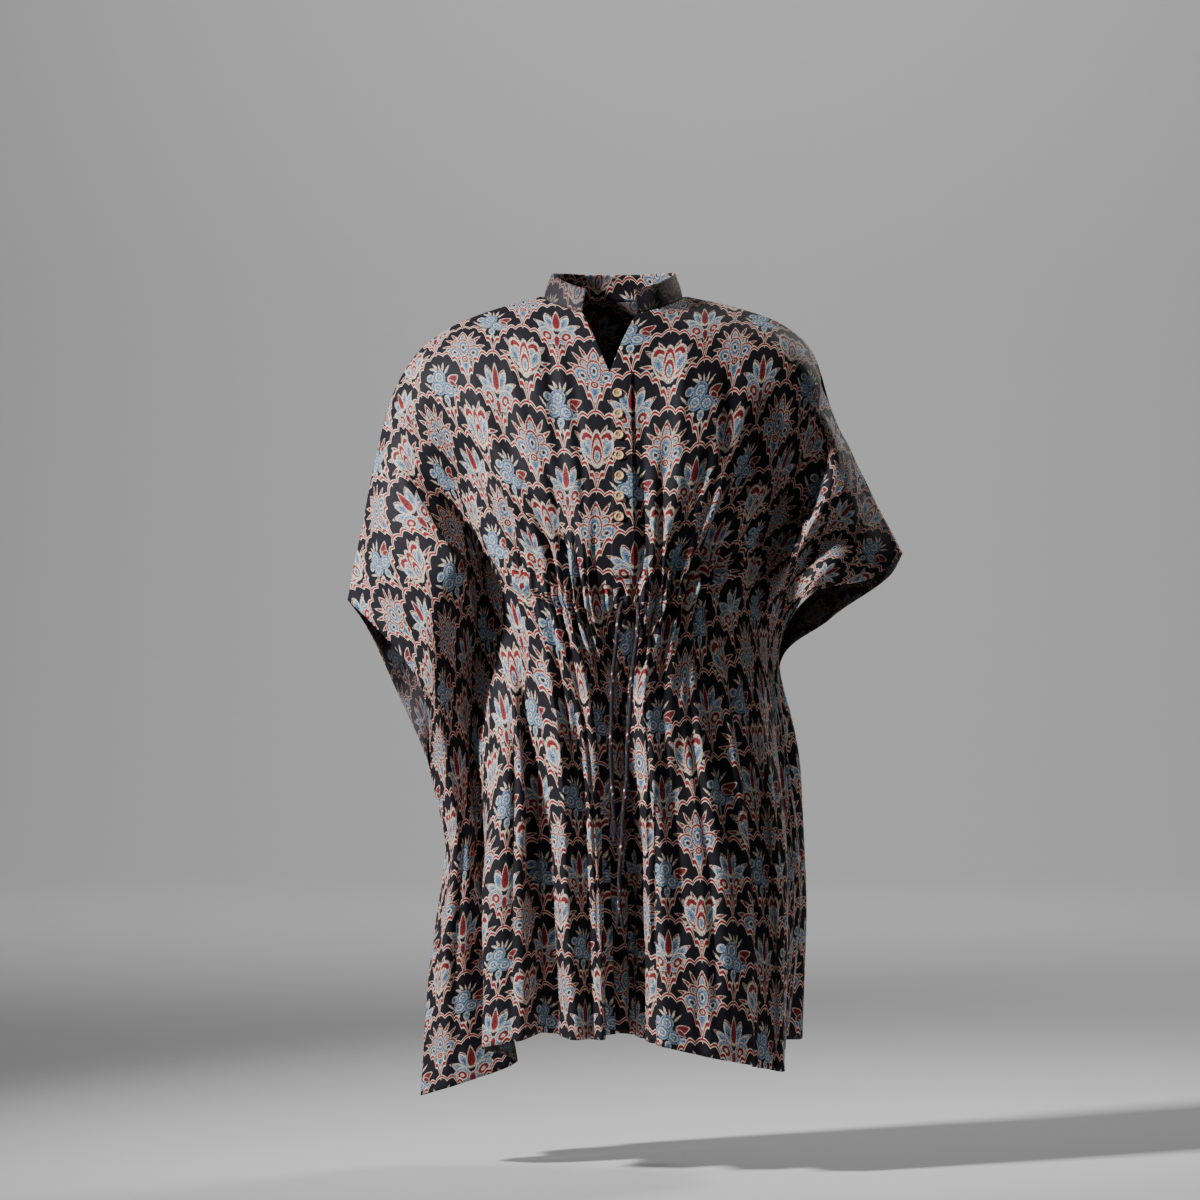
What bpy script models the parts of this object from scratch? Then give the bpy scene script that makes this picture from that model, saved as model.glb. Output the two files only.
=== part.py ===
"""A cotton kaftan as it is worn, hollow and open at neck, cuffs and hem.

The origin is the middle of the neck base, between the shoulders. +Z is up, the
front faces -Y, and +X is the wearer's left. Every panel is one flat cut of cloth:
u runs across it from the centre front or back, and w runs down from the top of
the shoulder. The sections below say where the cut lies when it is worn.
"""

import math
from collections import namedtuple

import bpy
import numpy as np

MM = 0.001

CLOTH = 1.5 * MM
SEAM_GAP = 0.3 * MM
HALF_WIDTH = 560
LENGTH = 905
SHOULDER_DROP = 210
NECK_HALF = 80
BACK_NECK_DROP = 12

SLIT_U = -3
SLIT_BOTTOM = 102
SLIT_TOP = 20
SLIT_HALF = 29

CUFF_END = 0.42
CASING_W = 376

Point = namedtuple("Point", "u x y z")
Section = namedtuple("Section", "level points")
Crease = namedtuple("Crease", "u_top w_top u_low w_low width depth")

# Sections down the front, each from the wearer's right edge to the left one, in
# millimetres. The level is the share of the way from shoulder to hem.
FRONT = (
    Section(0.0, (
        Point(-560, -323, 0, -372), Point(-440, -297, 2, -240), Point(-340, -272, 4, -132),
        Point(-270, -242, 5, -76), Point(-200, -192, 5, -38), Point(-140, -140, 3, -18),
        Point(-80, -88, 0, -4), Point(-45, -52, -45, -10), Point(0, -3, -62, -16),
        Point(45, 50, -45, -10), Point(80, 88, 0, -4), Point(140, 140, 3, -15),
        Point(200, 192, 5, -31), Point(270, 241, 5, -72), Point(340, 263, 2, -138),
        Point(440, 301, -8, -222), Point(560, 349, -20, -316),
    )),
    Section(0.06, (
        Point(-560, -298, -28, -394), Point(-440, -285, -38, -266), Point(-340, -264, -40, -160),
        Point(-270, -238, -42, -104), Point(-200, -190, -46, -66), Point(-140, -140, -52, -50),
        Point(-80, -86, -66, -44), Point(0, -3, -88, -58), Point(80, 86, -66, -44),
        Point(140, 140, -52, -47), Point(200, 190, -46, -60), Point(270, 238, -42, -100),
        Point(340, 262, -42, -164), Point(440, 290, -48, -248), Point(560, 320, -50, -340),
    )),
    Section(0.22, (
        Point(-560, -234, -58, -472), Point(-440, -222, -86, -358), Point(-385, -196, -96, -306),
        Point(-340, -188, -50, -274), Point(-270, -178, -54, -238), Point(-200, -156, -98, -212),
        Point(-140, -124, -122, -200), Point(-80, -74, -134, -196),
        Point(-30, -29, -133, -199), Point(30, 31, -133, -199),
        Point(80, 76, -134, -196), Point(140, 128, -122, -198), Point(200, 168, -98, -206),
        Point(270, 192, -64, -232), Point(330, 206, -40, -264), Point(390, 230, -92, -292),
        Point(450, 232, -74, -320), Point(510, 244, -88, -342), Point(560, 236, -84, -366),
    )),
    Section(0.42, (
        Point(-560, -218, -8, -598), Point(-500, -200, -38, -556), Point(-440, -182, -24, -508),
        Point(-385, -172, -8, -464), Point(-340, -160, -14, -434), Point(-270, -134, -52, -402),
        Point(-200, -104, -94, -386), Point(-140, -76, -118, -380), Point(-80, -48, -130, -379),
        Point(-30, -27, -134, -380), Point(30, 30, -135, -380), Point(80, 55, -131, -379),
        Point(140, 84, -121, -378),
        Point(200, 106, -105, -378), Point(270, 138, -78, -384), Point(340, 164, -48, -400),
        Point(440, 188, -38, -432), Point(560, 200, -6, -470),
    )),
    Section(0.52, (
        Point(-560, -204, 8, -668), Point(-500, -188, -20, -640), Point(-430, -170, -4, -588),
        Point(-370, -152, -44, -548), Point(-300, -126, -74, -510), Point(-240, -104, -78, -492),
        Point(-170, -72, -119, -482), Point(-100, -36, -125, -476), Point(-50, -14, -108, -474),
        Point(0, 8, -101, -474), Point(50, 26, -113, -474), Point(85, 42, -127, -474),
        Point(150, 86, -121, -474), Point(215, 128, -102, -476), Point(270, 152, -74, -484),
        Point(340, 174, -58, -500), Point(430, 196, -24, -526), Point(560, 208, 0, -542),
    )),
    Section(0.75, (
        Point(-560, -224, 4, -826), Point(-500, -194, -26, -806), Point(-425, -150, -2, -768),
        Point(-355, -156, -84, -736), Point(-300, -120, -106, -712), Point(-240, -90, -74, -694),
        Point(-170, -56, -125, -686), Point(-100, -18, -126, -680), Point(-50, -4, -74, -676),
        Point(0, 16, -62, -676), Point(50, 32, -98, -678), Point(85, 48, -130, -680),
        Point(150, 104, -126, -684), Point(215, 156, -106, -690), Point(270, 176, -64, -698),
        Point(340, 196, -70, -708), Point(430, 210, -26, -716), Point(560, 228, 8, -712),
    )),
    Section(1.0, (
        Point(-560, -234, -4, -974), Point(-500, -188, -26, -958), Point(-425, -118, -10, -932),
        Point(-335, -154, -88, -908), Point(-280, -112, -112, -897), Point(-238, -84, -82, -890),
        Point(-170, -46, -130, -894), Point(-100, -10, -128, -894), Point(-50, 2, -76, -892),
        Point(0, 20, -58, -894), Point(45, 34, -98, -896), Point(85, 50, -132, -900),
        Point(150, 108, -130, -914), Point(215, 160, -108, -926), Point(270, 182, -74, -934),
        Point(340, 200, -66, -938), Point(430, 202, -24, -922), Point(560, 214, 22, -890),
    )),
)

BACK = (
    Section(0.0, (
        Point(-560, -323, 0, -372), Point(-440, -297, 2, -240), Point(-340, -272, 4, -132),
        Point(-270, -242, 5, -76), Point(-200, -192, 5, -38), Point(-140, -140, 3, -18),
        Point(-80, -88, 0, -4), Point(-45, -56, 44, 2), Point(0, 0, 60, 6),
        Point(45, 56, 44, 2), Point(80, 88, 0, -4), Point(140, 140, 3, -15),
        Point(200, 192, 5, -31), Point(270, 241, 5, -72), Point(340, 263, 2, -138),
        Point(440, 301, -8, -222), Point(560, 349, -20, -316),
    )),
    Section(0.06, (
        Point(-560, -308, 30, -394), Point(-440, -290, 46, -264), Point(-340, -267, 50, -158),
        Point(-270, -239, 54, -102), Point(-200, -190, 60, -62), Point(-140, -140, 68, -44),
        Point(-80, -84, 74, -36), Point(0, 0, 82, -42), Point(80, 84, 74, -36),
        Point(140, 140, 68, -41), Point(200, 190, 60, -56), Point(270, 239, 52, -98),
        Point(340, 264, 48, -160), Point(440, 298, 40, -244), Point(560, 340, 22, -338),
    )),
    Section(0.22, (
        Point(-560, -264, 48, -488), Point(-440, -246, 80, -376), Point(-340, -218, 94, -288),
        Point(-270, -186, 102, -246), Point(-200, -150, 110, -220), Point(-80, -66, 118, -202),
        Point(0, 0, 116, -200), Point(80, 66, 118, -202), Point(200, 152, 110, -212),
        Point(270, 190, 102, -232), Point(340, 222, 92, -264), Point(440, 254, 74, -322),
        Point(560, 266, 42, -394),
    )),
    Section(0.42, (
        Point(-560, -218, -8, -598), Point(-500, -210, 26, -560), Point(-440, -194, 54, -518),
        Point(-340, -160, 86, -442), Point(-270, -128, 98, -408), Point(-200, -96, 106, -390),
        Point(-80, -40, 114, -382), Point(0, 0, 116, -381), Point(80, 40, 114, -382),
        Point(200, 98, 106, -384), Point(270, 132, 96, -394), Point(340, 166, 80, -408),
        Point(440, 192, 46, -438), Point(560, 200, -6, -470),
    )),
    Section(0.52, (
        Point(-560, -204, 8, -668), Point(-440, -186, 62, -594), Point(-340, -154, 92, -534),
        Point(-200, -96, 112, -488), Point(0, 0, 120, -476), Point(200, 98, 112, -480),
        Point(340, 166, 86, -502), Point(440, 196, 54, -524), Point(560, 208, 0, -542),
    )),
    Section(0.75, (
        Point(-560, -224, 4, -826), Point(-440, -190, 70, -782), Point(-340, -152, 100, -738),
        Point(-200, -92, 122, -696), Point(0, 0, 130, -680), Point(200, 98, 122, -686),
        Point(340, 168, 94, -706), Point(440, 204, 62, -716), Point(560, 228, 8, -712),
    )),
    Section(1.0, (
        Point(-560, -234, -4, -974), Point(-440, -192, 64, -952), Point(-340, -150, 102, -926),
        Point(-200, -92, 128, -904), Point(0, 0, 138, -896), Point(200, 96, 130, -900),
        Point(340, 166, 102, -914), Point(440, 204, 68, -914), Point(560, 214, 22, -890),
    )),
)

# Long soft creases pressed into a panel, from their upper to their lower end on the cut.
FRONT_CREASES = (
    Crease(-78, 30, -62, 350, 16, -7), Crease(-150, 150, -96, 360, 22, -8),
    Crease(-235, 190, -150, 372, 24, -9), Crease(-60, 180, -40, 372, 14, 5),
    Crease(68, 180, 66, 330, 15, -3), Crease(98, 230, 92, 350, 14, -3),
    Crease(205, 180, 170, 372, 22, -8), Crease(262, 150, 228, 372, 24, 8),
    Crease(-330, 110, -395, 330, 26, -10), Crease(300, 110, 372, 300, 24, -10),
    Crease(34, 200, 35, 360, 10, -4), Crease(-128, 382, -138, 1120, 13, -18), Crease(58, 220, 58, 540, 9, 3),
    Crease(-66, 386, -70, 1060, 11, -13), Crease(8, 440, 16, 760, 16, -5),
    Crease(112, 420, 120, 820, 15, -9), Crease(284, 400, 276, 1140, 22, -4),
    Crease(-196, 378, -190, 690, 13, -11), Crease(-262, 380, -252, 760, 14, -12),
    Crease(182, 382, 196, 700, 14, -11), Crease(236, 386, 246, 640, 15, -6),
    Crease(-96, 250, -88, 374, 11, -8), Crease(132, 262, 112, 370, 14, -4),
)
BACK_CREASES = (
    Crease(-120, 120, -70, 370, 26, 7), Crease(-30, 160, -20, 372, 20, -6),
    Crease(70, 130, 50, 372, 22, 6), Crease(170, 150, 120, 372, 24, -7),
    Crease(-250, 160, -190, 372, 26, -8), Crease(290, 130, 240, 380, 26, 8),
    Crease(-360, 150, -440, 360, 28, -9), Crease(370, 140, 450, 340, 28, -9),
)

GATHER_PITCH = 37.0
VALLEY_SHARPNESS = 2.0
GATHER_UP = 95.0
GATHER_DOWN = 125.0
GATHER_SPAN = {"front": (-215, 285), "back": (-235, 235)}
FLUTE_PITCH = {"front": 58.0, "back": 150.0}
FLUTE_SHARE = {"front": 0.45, "back": 0.92}
FLUTE_START = 420.0
MOST_SPARE = 1.6
PLACKET_MIDDLE = 9
PLACKET_FLAT = 17

COLUMN_STEP = {"front_gather": 7.25, "front_side": 19.0, "back": 26.0}
ROWS = 24

COLLAR_CLOTH = 1.6 * MM
COLLAR_FRONT_RISE = 29
COLLAR_BACK_RISE = 31
COLLAR_LEAN = 9
COLLAR_STEPS = 36

PLACKET_U = (-3, 21)
PLACKET_W = (103, 344)
PLACKET_CLOTH = 1.2 * MM

BUTTON_RADIUS = 5.75 * MM
BUTTON_THICK = 2.2 * MM
BUTTON_RIM = 0.9 * MM
BUTTON_U = 5
BUTTON_FIRST_W = 128
BUTTON_PITCH_W = 24.4
BUTTON_COUNT = 7
BUTTON_LIFT = 0.5 * MM
BUTTON_SIDES = 16

TIE_RADIUS = 2.6 * MM
TIE_POINTS = 30
TIE_TIP_LENGTH = 26 * MM
TIE_TIP_RADIUS = 4.6 * MM

Tie = namedtuple("Tie", "name route")
TIES = (
    Tie("tie_right", ((8, -150, -374), (5, -153, -392), (1, -150, -440), (-3, -144, -520),
                      (-4, -141, -585), (0, -140, -628))),
    Tie("tie_left", ((27, -150, -376), (28, -154, -394), (24, -152, -445), (16, -148, -540),
                     (10, -145, -640), (6, -143, -735))),
)

COLOURS = {
    "cloth": (0.045, 0.035, 0.045),
    "collar": (0.07, 0.05, 0.06),
    "tie": (0.10, 0.04, 0.045),
    "wood": (0.62, 0.42, 0.22),
}
ROUGHNESS = {"cloth": 0.75, "collar": 0.75, "tie": 0.8, "wood": 0.5}


def through(at, known, values):
    """A smooth curve through (known, values), read at the points `at`: a cubic
    Hermite with limited slopes, so that it doesn't swing past its points."""
    known = np.asarray(known, float)
    values = np.asarray(values, float)
    step = np.diff(known)
    rise = np.diff(values, axis=0) / step.reshape((-1,) + (1,) * (values.ndim - 1))
    slope = np.zeros_like(values)
    slope[0], slope[-1] = rise[0], rise[-1]
    before, after = rise[:-1], rise[1:]
    same = before * after > 0
    total = np.where(same, before + after, 1.0)
    slope[1:-1] = np.where(same, 2 * before * after / total, 0.25 * (before + after))
    at = np.clip(np.asarray(at, float), known[0], known[-1])
    i = np.clip(np.searchsorted(known, at, side="right") - 1, 0, len(step) - 1)
    shape = at.shape + (1,) * (values.ndim - 1)
    h = step[i].reshape(shape)
    t = ((at - known[i]) / step[i]).reshape(shape)
    return (
        (2 * t**3 - 3 * t**2 + 1) * values[i]
        + (t**3 - 2 * t**2 + t) * h * slope[i]
        + (3 * t**2 - 2 * t**3) * values[i + 1]
        + (t**3 - t**2) * h * slope[i + 1]
    )


def eased(x):
    """0 below 0, 1 above 1, and a smooth step between them."""
    x = np.clip(x, 0.0, 1.0)
    return x * x * (3 - 2 * x)


def shoulder_w(u):
    """How far down the cut the shoulder and overarm line is, in millimetres."""
    out = np.clip((np.abs(u) - NECK_HALF) / (HALF_WIDTH - NECK_HALF), 0, 1)
    return SHOULDER_DROP * out**1.1


def top_w(u, side):
    """How far down the cut each panel starts: its neckline, and then the shoulder."""
    u = np.asarray(u, float)
    if side == "back":
        neck = BACK_NECK_DROP * np.clip(1 - (u / NECK_HALF) ** 2, 0, 1)
        return np.where(np.abs(u) < NECK_HALF, neck, shoulder_w(u))
    off = np.abs(u - SLIT_U)
    reach = np.where(u < SLIT_U, NECK_HALF + SLIT_U, NECK_HALF - SLIT_U) - SLIT_HALF
    neck = SLIT_TOP * np.clip(1 - ((off - SLIT_HALF) / reach) ** 2, 0, 1)
    slit = SLIT_BOTTOM + (SLIT_TOP - SLIT_BOTTOM) * off / SLIT_HALF
    return np.where(off < SLIT_HALF, slit, np.where(np.abs(u) < NECK_HALF, neck, shoulder_w(u)))


def section_line(u, section):
    """The places of the points u along one section. The top one has a corner at each
    end of the neck, so that the shoulders are the same on the front and the back."""
    corners = (-NECK_HALF, NECK_HALF) if section.level == 0 else ()
    bounds = (-math.inf, *corners, math.inf)
    line = np.zeros(u.shape + (3,))
    for low, high in zip(bounds[:-1], bounds[1:]):
        points = [p for p in section.points if low <= p.u <= high]
        here = (u >= low) & (u <= high)
        if here.any():
            line[here] = through(u[here], [p.u for p in points], [(p.x, p.y, p.z) for p in points])
    return line


def base_surface(u, w, side):
    """Where the point (u, w) of the flat cut lies before it is gathered: a smooth
    curve across each section, and then a smooth curve down through the sections."""
    sections = FRONT if side == "front" else BACK
    start = shoulder_w(u)
    share = np.clip((w - start) / (LENGTH - start), 0, 1)
    levels = [s.level for s in sections]
    across = np.stack([section_line(u, s) for s in sections])
    i = np.clip(np.searchsorted(levels, share, side="right") - 1, 0, len(levels) - 2)
    knots = np.array(levels)
    step = np.diff(knots)
    slope = np.zeros_like(across)
    rise = np.diff(across, axis=0) / step.reshape((-1,) + (1,) * (across.ndim - 1))
    slope[0], slope[-1] = rise[0], rise[-1]
    weight = (step[1:] / (step[1:] + step[:-1])).reshape((-1,) + (1,) * (across.ndim - 1))
    slope[1:-1] = rise[:-1] * weight + rise[1:] * (1 - weight)
    cuff = levels.index(CUFF_END)
    corner = eased((np.abs(u) - 470) / 90)[..., None]
    slope[cuff] = slope[cuff] * (1 - corner) + rise[cuff] * corner
    rows = tuple(np.indices(share.shape))
    t = ((share - knots[i]) / step[i])[..., None]
    h = step[i][..., None]
    low, high = across[(i, *rows)], across[(i + 1, *rows)]
    m_low, m_high = slope[(i, *rows)], slope[(i + 1, *rows)]
    return (
        (2 * t**3 - 3 * t**2 + 1) * low
        + (t**3 - 2 * t**2 + t) * h * m_low
        + (3 * t**2 - 2 * t**3) * high
        + (t**3 - t**2) * h * m_high
    )


def normals(points, side):
    """Unit normals of a grid of points, facing away from the wearer."""
    across = np.gradient(points, axis=0)
    down = np.gradient(points, axis=1)
    n = np.cross(down, across) if side == "front" else np.cross(across, down)
    return n / np.maximum(np.linalg.norm(n, axis=2, keepdims=True), 1e-9)


def spare_cloth(u, w, side):
    """How many times wider the cut is than the place that it lies in, less one."""
    step = 6.0
    ahead = base_surface(np.clip(u + step, -HALF_WIDTH, HALF_WIDTH), w, side)
    behind = base_surface(np.clip(u - step, -HALF_WIDTH, HALF_WIDTH), w, side)
    flat = np.clip(u + step, -HALF_WIDTH, HALF_WIDTH) - np.clip(u - step, -HALF_WIDTH, HALF_WIDTH)
    lies = np.linalg.norm(ahead - behind, axis=-1)
    return np.clip(flat / np.maximum(lies, 1.0) - 1, 0, MOST_SPARE)


def wave(u, pitch):
    """An uneven wave of about that pitch: broad ridges that wander, and narrow valleys."""
    wander = 0.9 * np.sin(u / (2.7 * pitch) + 0.6) + 0.7 * np.sin(u / (1.33 * pitch) + 2.1)
    height = 0.82 + 0.18 * np.sin(u / (1.9 * pitch) + 1.0)
    turn = np.sin(2 * math.pi * u / pitch + wander)
    return height * (1.25 - 2.5 * ((1 - turn) / 2) ** VALLEY_SHARPNESS)


def gathers(u, w, side):
    """How far the drawn-in cloth stands out of its smooth form. Waves of a pitch p
    that take up r times their width have a height of p / (1 + r) / pi * sqrt(r)."""
    spare = spare_cloth(u, w, side)
    low, high = GATHER_SPAN[side]
    inside = eased((u - low) / 45 + 0.5) * eased((high - u) / 45 + 0.5)
    off = w - CASING_W
    near = np.exp(-np.where(off < 0, off / GATHER_UP, off / GATHER_DOWN) ** 2)
    fine = GATHER_PITCH / (1 + spare) / math.pi * np.sqrt(spare)
    pitch = FLUTE_PITCH[side]
    wide = pitch / (1 + spare) / math.pi * np.sqrt(spare)
    grown = eased((w - FLUTE_START) / 190) * FLUTE_SHARE[side]
    edge = eased((HALF_WIDTH - np.abs(u)) / 60)
    flat = eased(2 - np.abs(u - PLACKET_MIDDLE) / PLACKET_FLAT) * eased((CASING_W - 16 - w) / 20)
    if side == "front":
        near = near * (1 - flat)
    return (
        fine * near * inside * wave(u, GATHER_PITCH)
        + wide * grown * edge * wave(u + 17, pitch)
    )


def creases(u, w, rows):
    """The long creases: soft troughs or ridges that fade out at both ends."""
    height = np.zeros_like(u)
    for c in rows:
        along = np.array([c.u_low - c.u_top, c.w_low - c.w_top], float)
        length = np.hypot(*along)
        along /= length
        run = ((u - c.u_top) * along[0] + (w - c.w_top) * along[1]) / length
        off = (u - c.u_top) * along[1] - (w - c.w_top) * along[0]
        ends = eased(run / 0.3) * eased((1 - run) / 0.22)
        height += c.depth * ends * np.exp(-((off / c.width) ** 2))
    return height


def panel_points(u, w, side):
    """The inner face of a worn panel, in metres."""
    base = base_surface(u, w, side)
    out = normals(base, side)
    rows = FRONT_CREASES if side == "front" else BACK_CREASES
    height = gathers(u, w, side) + creases(u, w, rows)
    points = (base + out * height[..., None]) * MM
    points[..., 1] += (-0.5 if side == "front" else 0.5) * SEAM_GAP
    return points


def wall_directions(points, u, w, side):
    """Which way a panel is thick at each point. Along a seam both panels use the
    seam's own outward direction, so that their rims lie face to face."""
    out = normals(points, side)
    across = np.gradient(points[:, 0], axis=0)
    up = np.stack([-across[:, 2], np.zeros(len(points)), across[:, 0]], axis=1)
    up /= np.linalg.norm(up, axis=1, keepdims=True)
    sewn = np.abs(u[:, 0]) >= NECK_HALF - 0.1
    out[sewn, 0] = up[sewn]
    for column, sign in ((0, 1.0), (-1, -1.0)):
        down = np.gradient(points[column], axis=0)
        away = np.stack([sign * down[:, 2], np.zeros(len(down)), -sign * down[:, 0]], axis=1)
        away /= np.linalg.norm(away, axis=1, keepdims=True)
        start = shoulder_w(u[column])
        sewn = (w[column] - start) / (LENGTH - start) >= CUFF_END - 0.02
        out[column, sewn] = away[sewn]
    return out


def columns(side):
    """The places of a panel's columns on its cut, closer where it is gathered."""
    if side == "back":
        return np.linspace(-HALF_WIDTH, HALF_WIDTH, round(2 * HALF_WIDTH / COLUMN_STEP["back"]) + 1)
    low, high = GATHER_SPAN["front"]
    slit = np.array([-SLIT_HALF, -SLIT_HALF / 2, 0, SLIT_HALF / 2, SLIT_HALF]) + SLIT_U
    placket = np.array([PLACKET_U[1]])
    fixed = np.concatenate([[-HALF_WIDTH, low], slit, placket, [high, HALF_WIDTH]])
    fixed = np.unique(fixed)
    found = []
    for a, b in zip(fixed[:-1], fixed[1:]):
        inside = low <= a and b <= high
        step = COLUMN_STEP["front_gather" if inside else "front_side"]
        found.extend(np.linspace(a, b, max(1, round((b - a) / step)) + 1)[:-1])
    return np.array([*found, HALF_WIDTH])


def row_shares():
    """The places of a panel's rows, from top to hem, closer at the shoulder and casing."""
    even = np.linspace(0, 1, ROWS + 1)
    known = [0, 0.2, 0.5, 0.66, 1]
    return np.interp(even, known, [0, 0.08, 0.36, 0.52, 1])


def panel_cut(side):
    """The (u, w) of each point of a panel's grid. Rows start at the neckline or shoulder."""
    across, shares = columns(side), row_shares()
    u = np.repeat(across[:, None], len(shares), axis=1)
    start = top_w(u, side)
    return u, start + (LENGTH - start) * shares[None, :]


def add_mesh(name, points, faces, colour, smooth=True):
    mesh = bpy.data.meshes.new(name)
    mesh.from_pydata([tuple(map(float, p)) for p in points], [], faces)
    mesh.validate()
    obj = bpy.data.objects.new(name, mesh)
    bpy.context.scene.collection.objects.link(obj)
    if smooth:
        mesh.shade_smooth()
    obj.data.materials.append(finish(colour))
    return obj


def finish(name):
    """The plain material of one kind of piece, made once."""
    if name in bpy.data.materials:
        return bpy.data.materials[name]
    material = bpy.data.materials.new(name)
    material.use_nodes = True
    shader = material.node_tree.nodes["Principled BSDF"]
    shader.inputs["Base Color"].default_value = (*COLOURS[name], 1)
    shader.inputs["Roughness"].default_value = ROUGHNESS[name]
    return material


def wall(name, inner, outer, colour, flip, closed=False):
    """A closed wall between two grids of points: both faces and the rim."""
    nu, nv = inner.shape[:2]
    points = np.concatenate([outer.reshape(-1, 3), inner.reshape(-1, 3)])

    def at(i, j, layer):
        return layer * nu * nv + (i % nu) * nv + j

    faces = []
    for i in range(nu if closed else nu - 1):
        for j in range(nv - 1):
            a, b, c, d = at(i, j, 0), at(i + 1, j, 0), at(i + 1, j + 1, 0), at(i, j + 1, 0)
            faces.append((a, d, c, b))
            faces.append(tuple(x + nu * nv for x in (a, b, c, d)))
        faces.append((at(i, 0, 0), at(i + 1, 0, 0), at(i + 1, 0, 1), at(i, 0, 1)))
        faces.append((at(i, nv - 1, 0), at(i, nv - 1, 1), at(i + 1, nv - 1, 1), at(i + 1, nv - 1, 0)))
    for j in range(0 if closed else nv - 1):
        faces.append((at(0, j, 0), at(0, j, 1), at(0, j + 1, 1), at(0, j + 1, 0)))
        last = nu - 1
        faces.append((at(last, j, 0), at(last, j + 1, 0), at(last, j + 1, 1), at(last, j, 1)))
    if flip:
        faces = [f[::-1] for f in faces]
    return add_mesh(name, points, faces, colour)


def make_panel(side):
    """A front or back panel, cut in one with its half sleeves."""
    u, w = panel_cut(side)
    inner = panel_points(u, w, side)
    outer = inner + wall_directions(inner, u, w, side) * CLOTH
    wall(f"{side}_panel", inner, outer, "cloth", flip=side == "back")
    return u, w, inner, outer


def nearest(values, wanted):
    return int(np.argmin(np.abs(np.asarray(values) - wanted)))


def make_placket(u, w, outer):
    """The button placket: the front panel's own points between two columns, moved out."""
    first, last = nearest(u[:, 0], PLACKET_U[0]), nearest(u[:, 0], PLACKET_U[1])
    mid = first
    top = int(np.argmax(w[mid] >= PLACKET_W[0] - 1))
    low = nearest(w[mid], PLACKET_W[1])
    out = normals(outer, "front")
    cut = (slice(first, last + 1), slice(top, low + 1))
    inner = outer[cut] + out[cut] * SEAM_GAP
    face = inner + out[cut] * PLACKET_CLOTH
    wall("button_placket", inner, face, "cloth", flip=False)


def neckline(steps):
    """Points round the neckline, from the slit's wearer's-right corner round the
    back to its left corner, with how far each is from the front, from 0 to 1."""
    right = np.linspace(SLIT_U - SLIT_HALF, -NECK_HALF, steps // 4 + 1)[:-1]
    back = np.linspace(-NECK_HALF, NECK_HALF, steps // 2 + 1)
    left = np.linspace(NECK_HALF, SLIT_U + SLIT_HALF, steps // 4 + 1)[1:]
    found = []
    for line, side in ((right, "front"), (back, "back"), (left, "front")):
        u = line[:, None]
        found.append(base_surface(u, top_w(u, side), side)[:, 0])
    points = np.concatenate(found)
    length = np.concatenate([[0], np.cumsum(np.linalg.norm(np.diff(points, axis=0), axis=1))])
    share = length / length[-1]
    return points, 1 - np.abs(2 * share - 1)


def make_collar():
    """The stand collar: a band that rises off the neckline and leans in at its top."""
    foot, back_share = neckline(COLLAR_STEPS)
    smooth_foot = foot.copy()
    for _ in range(3):
        smooth_foot[1:-1] = (smooth_foot[:-2] + 2 * smooth_foot[1:-1] + smooth_foot[2:]) / 4
    away = smooth_foot * (1, 1, 0)
    away /= np.linalg.norm(away, axis=1, keepdims=True)
    rise = COLLAR_FRONT_RISE + (COLLAR_BACK_RISE - COLLAR_FRONT_RISE) * eased(back_share)
    rows = np.array([0.0, 0.35, 0.7, 1.0])
    stand = CLOTH / MM + 2 * SEAM_GAP / MM
    base = smooth_foot + (0, 0, stand)
    points = (
        base[:, None]
        + rows[None, :, None] * rise[:, None, None] * np.array([0, 0, 1.0])
        - (rows**1.5)[None, :, None] * COLLAR_LEAN * away[:, None]
    )
    inner = points * MM
    outer = inner + away[:, None] * COLLAR_CLOTH
    return wall("collar", inner, outer, "collar", flip=False)


def turned(name, profile, centre, axis, colour, sides):
    """A closed turned solid: (along, radius) rows about an axis, poles included."""
    axis = np.asarray(axis, float) / np.linalg.norm(axis)
    side = np.cross(axis, (0, 0, 1.0))
    side /= np.linalg.norm(side)
    other = np.cross(axis, side)
    angle = 2 * math.pi * np.arange(sides) / sides
    ring = np.cos(angle)[:, None] * side + np.sin(angle)[:, None] * other
    points = [centre + axis * profile[0][0]]
    for along, radius in profile[1:-1]:
        points.extend(centre + axis * along + ring * radius)
    points.append(centre + axis * profile[-1][0])
    faces = []
    rings = len(profile) - 2
    for k in range(sides):
        nxt = (k + 1) % sides
        faces.append((0, 1 + nxt, 1 + k))
        for r in range(rings - 1):
            a, b = 1 + r * sides, 1 + (r + 1) * sides
            faces.append((a + k, a + nxt, b + nxt, b + k))
        last = 1 + (rings - 1) * sides
        faces.append((last + k, last + nxt, len(points) - 1))
    obj = add_mesh(name, points, faces, colour)
    obj.data.set_sharp_from_angle(angle=math.radians(40))
    return obj


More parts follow.
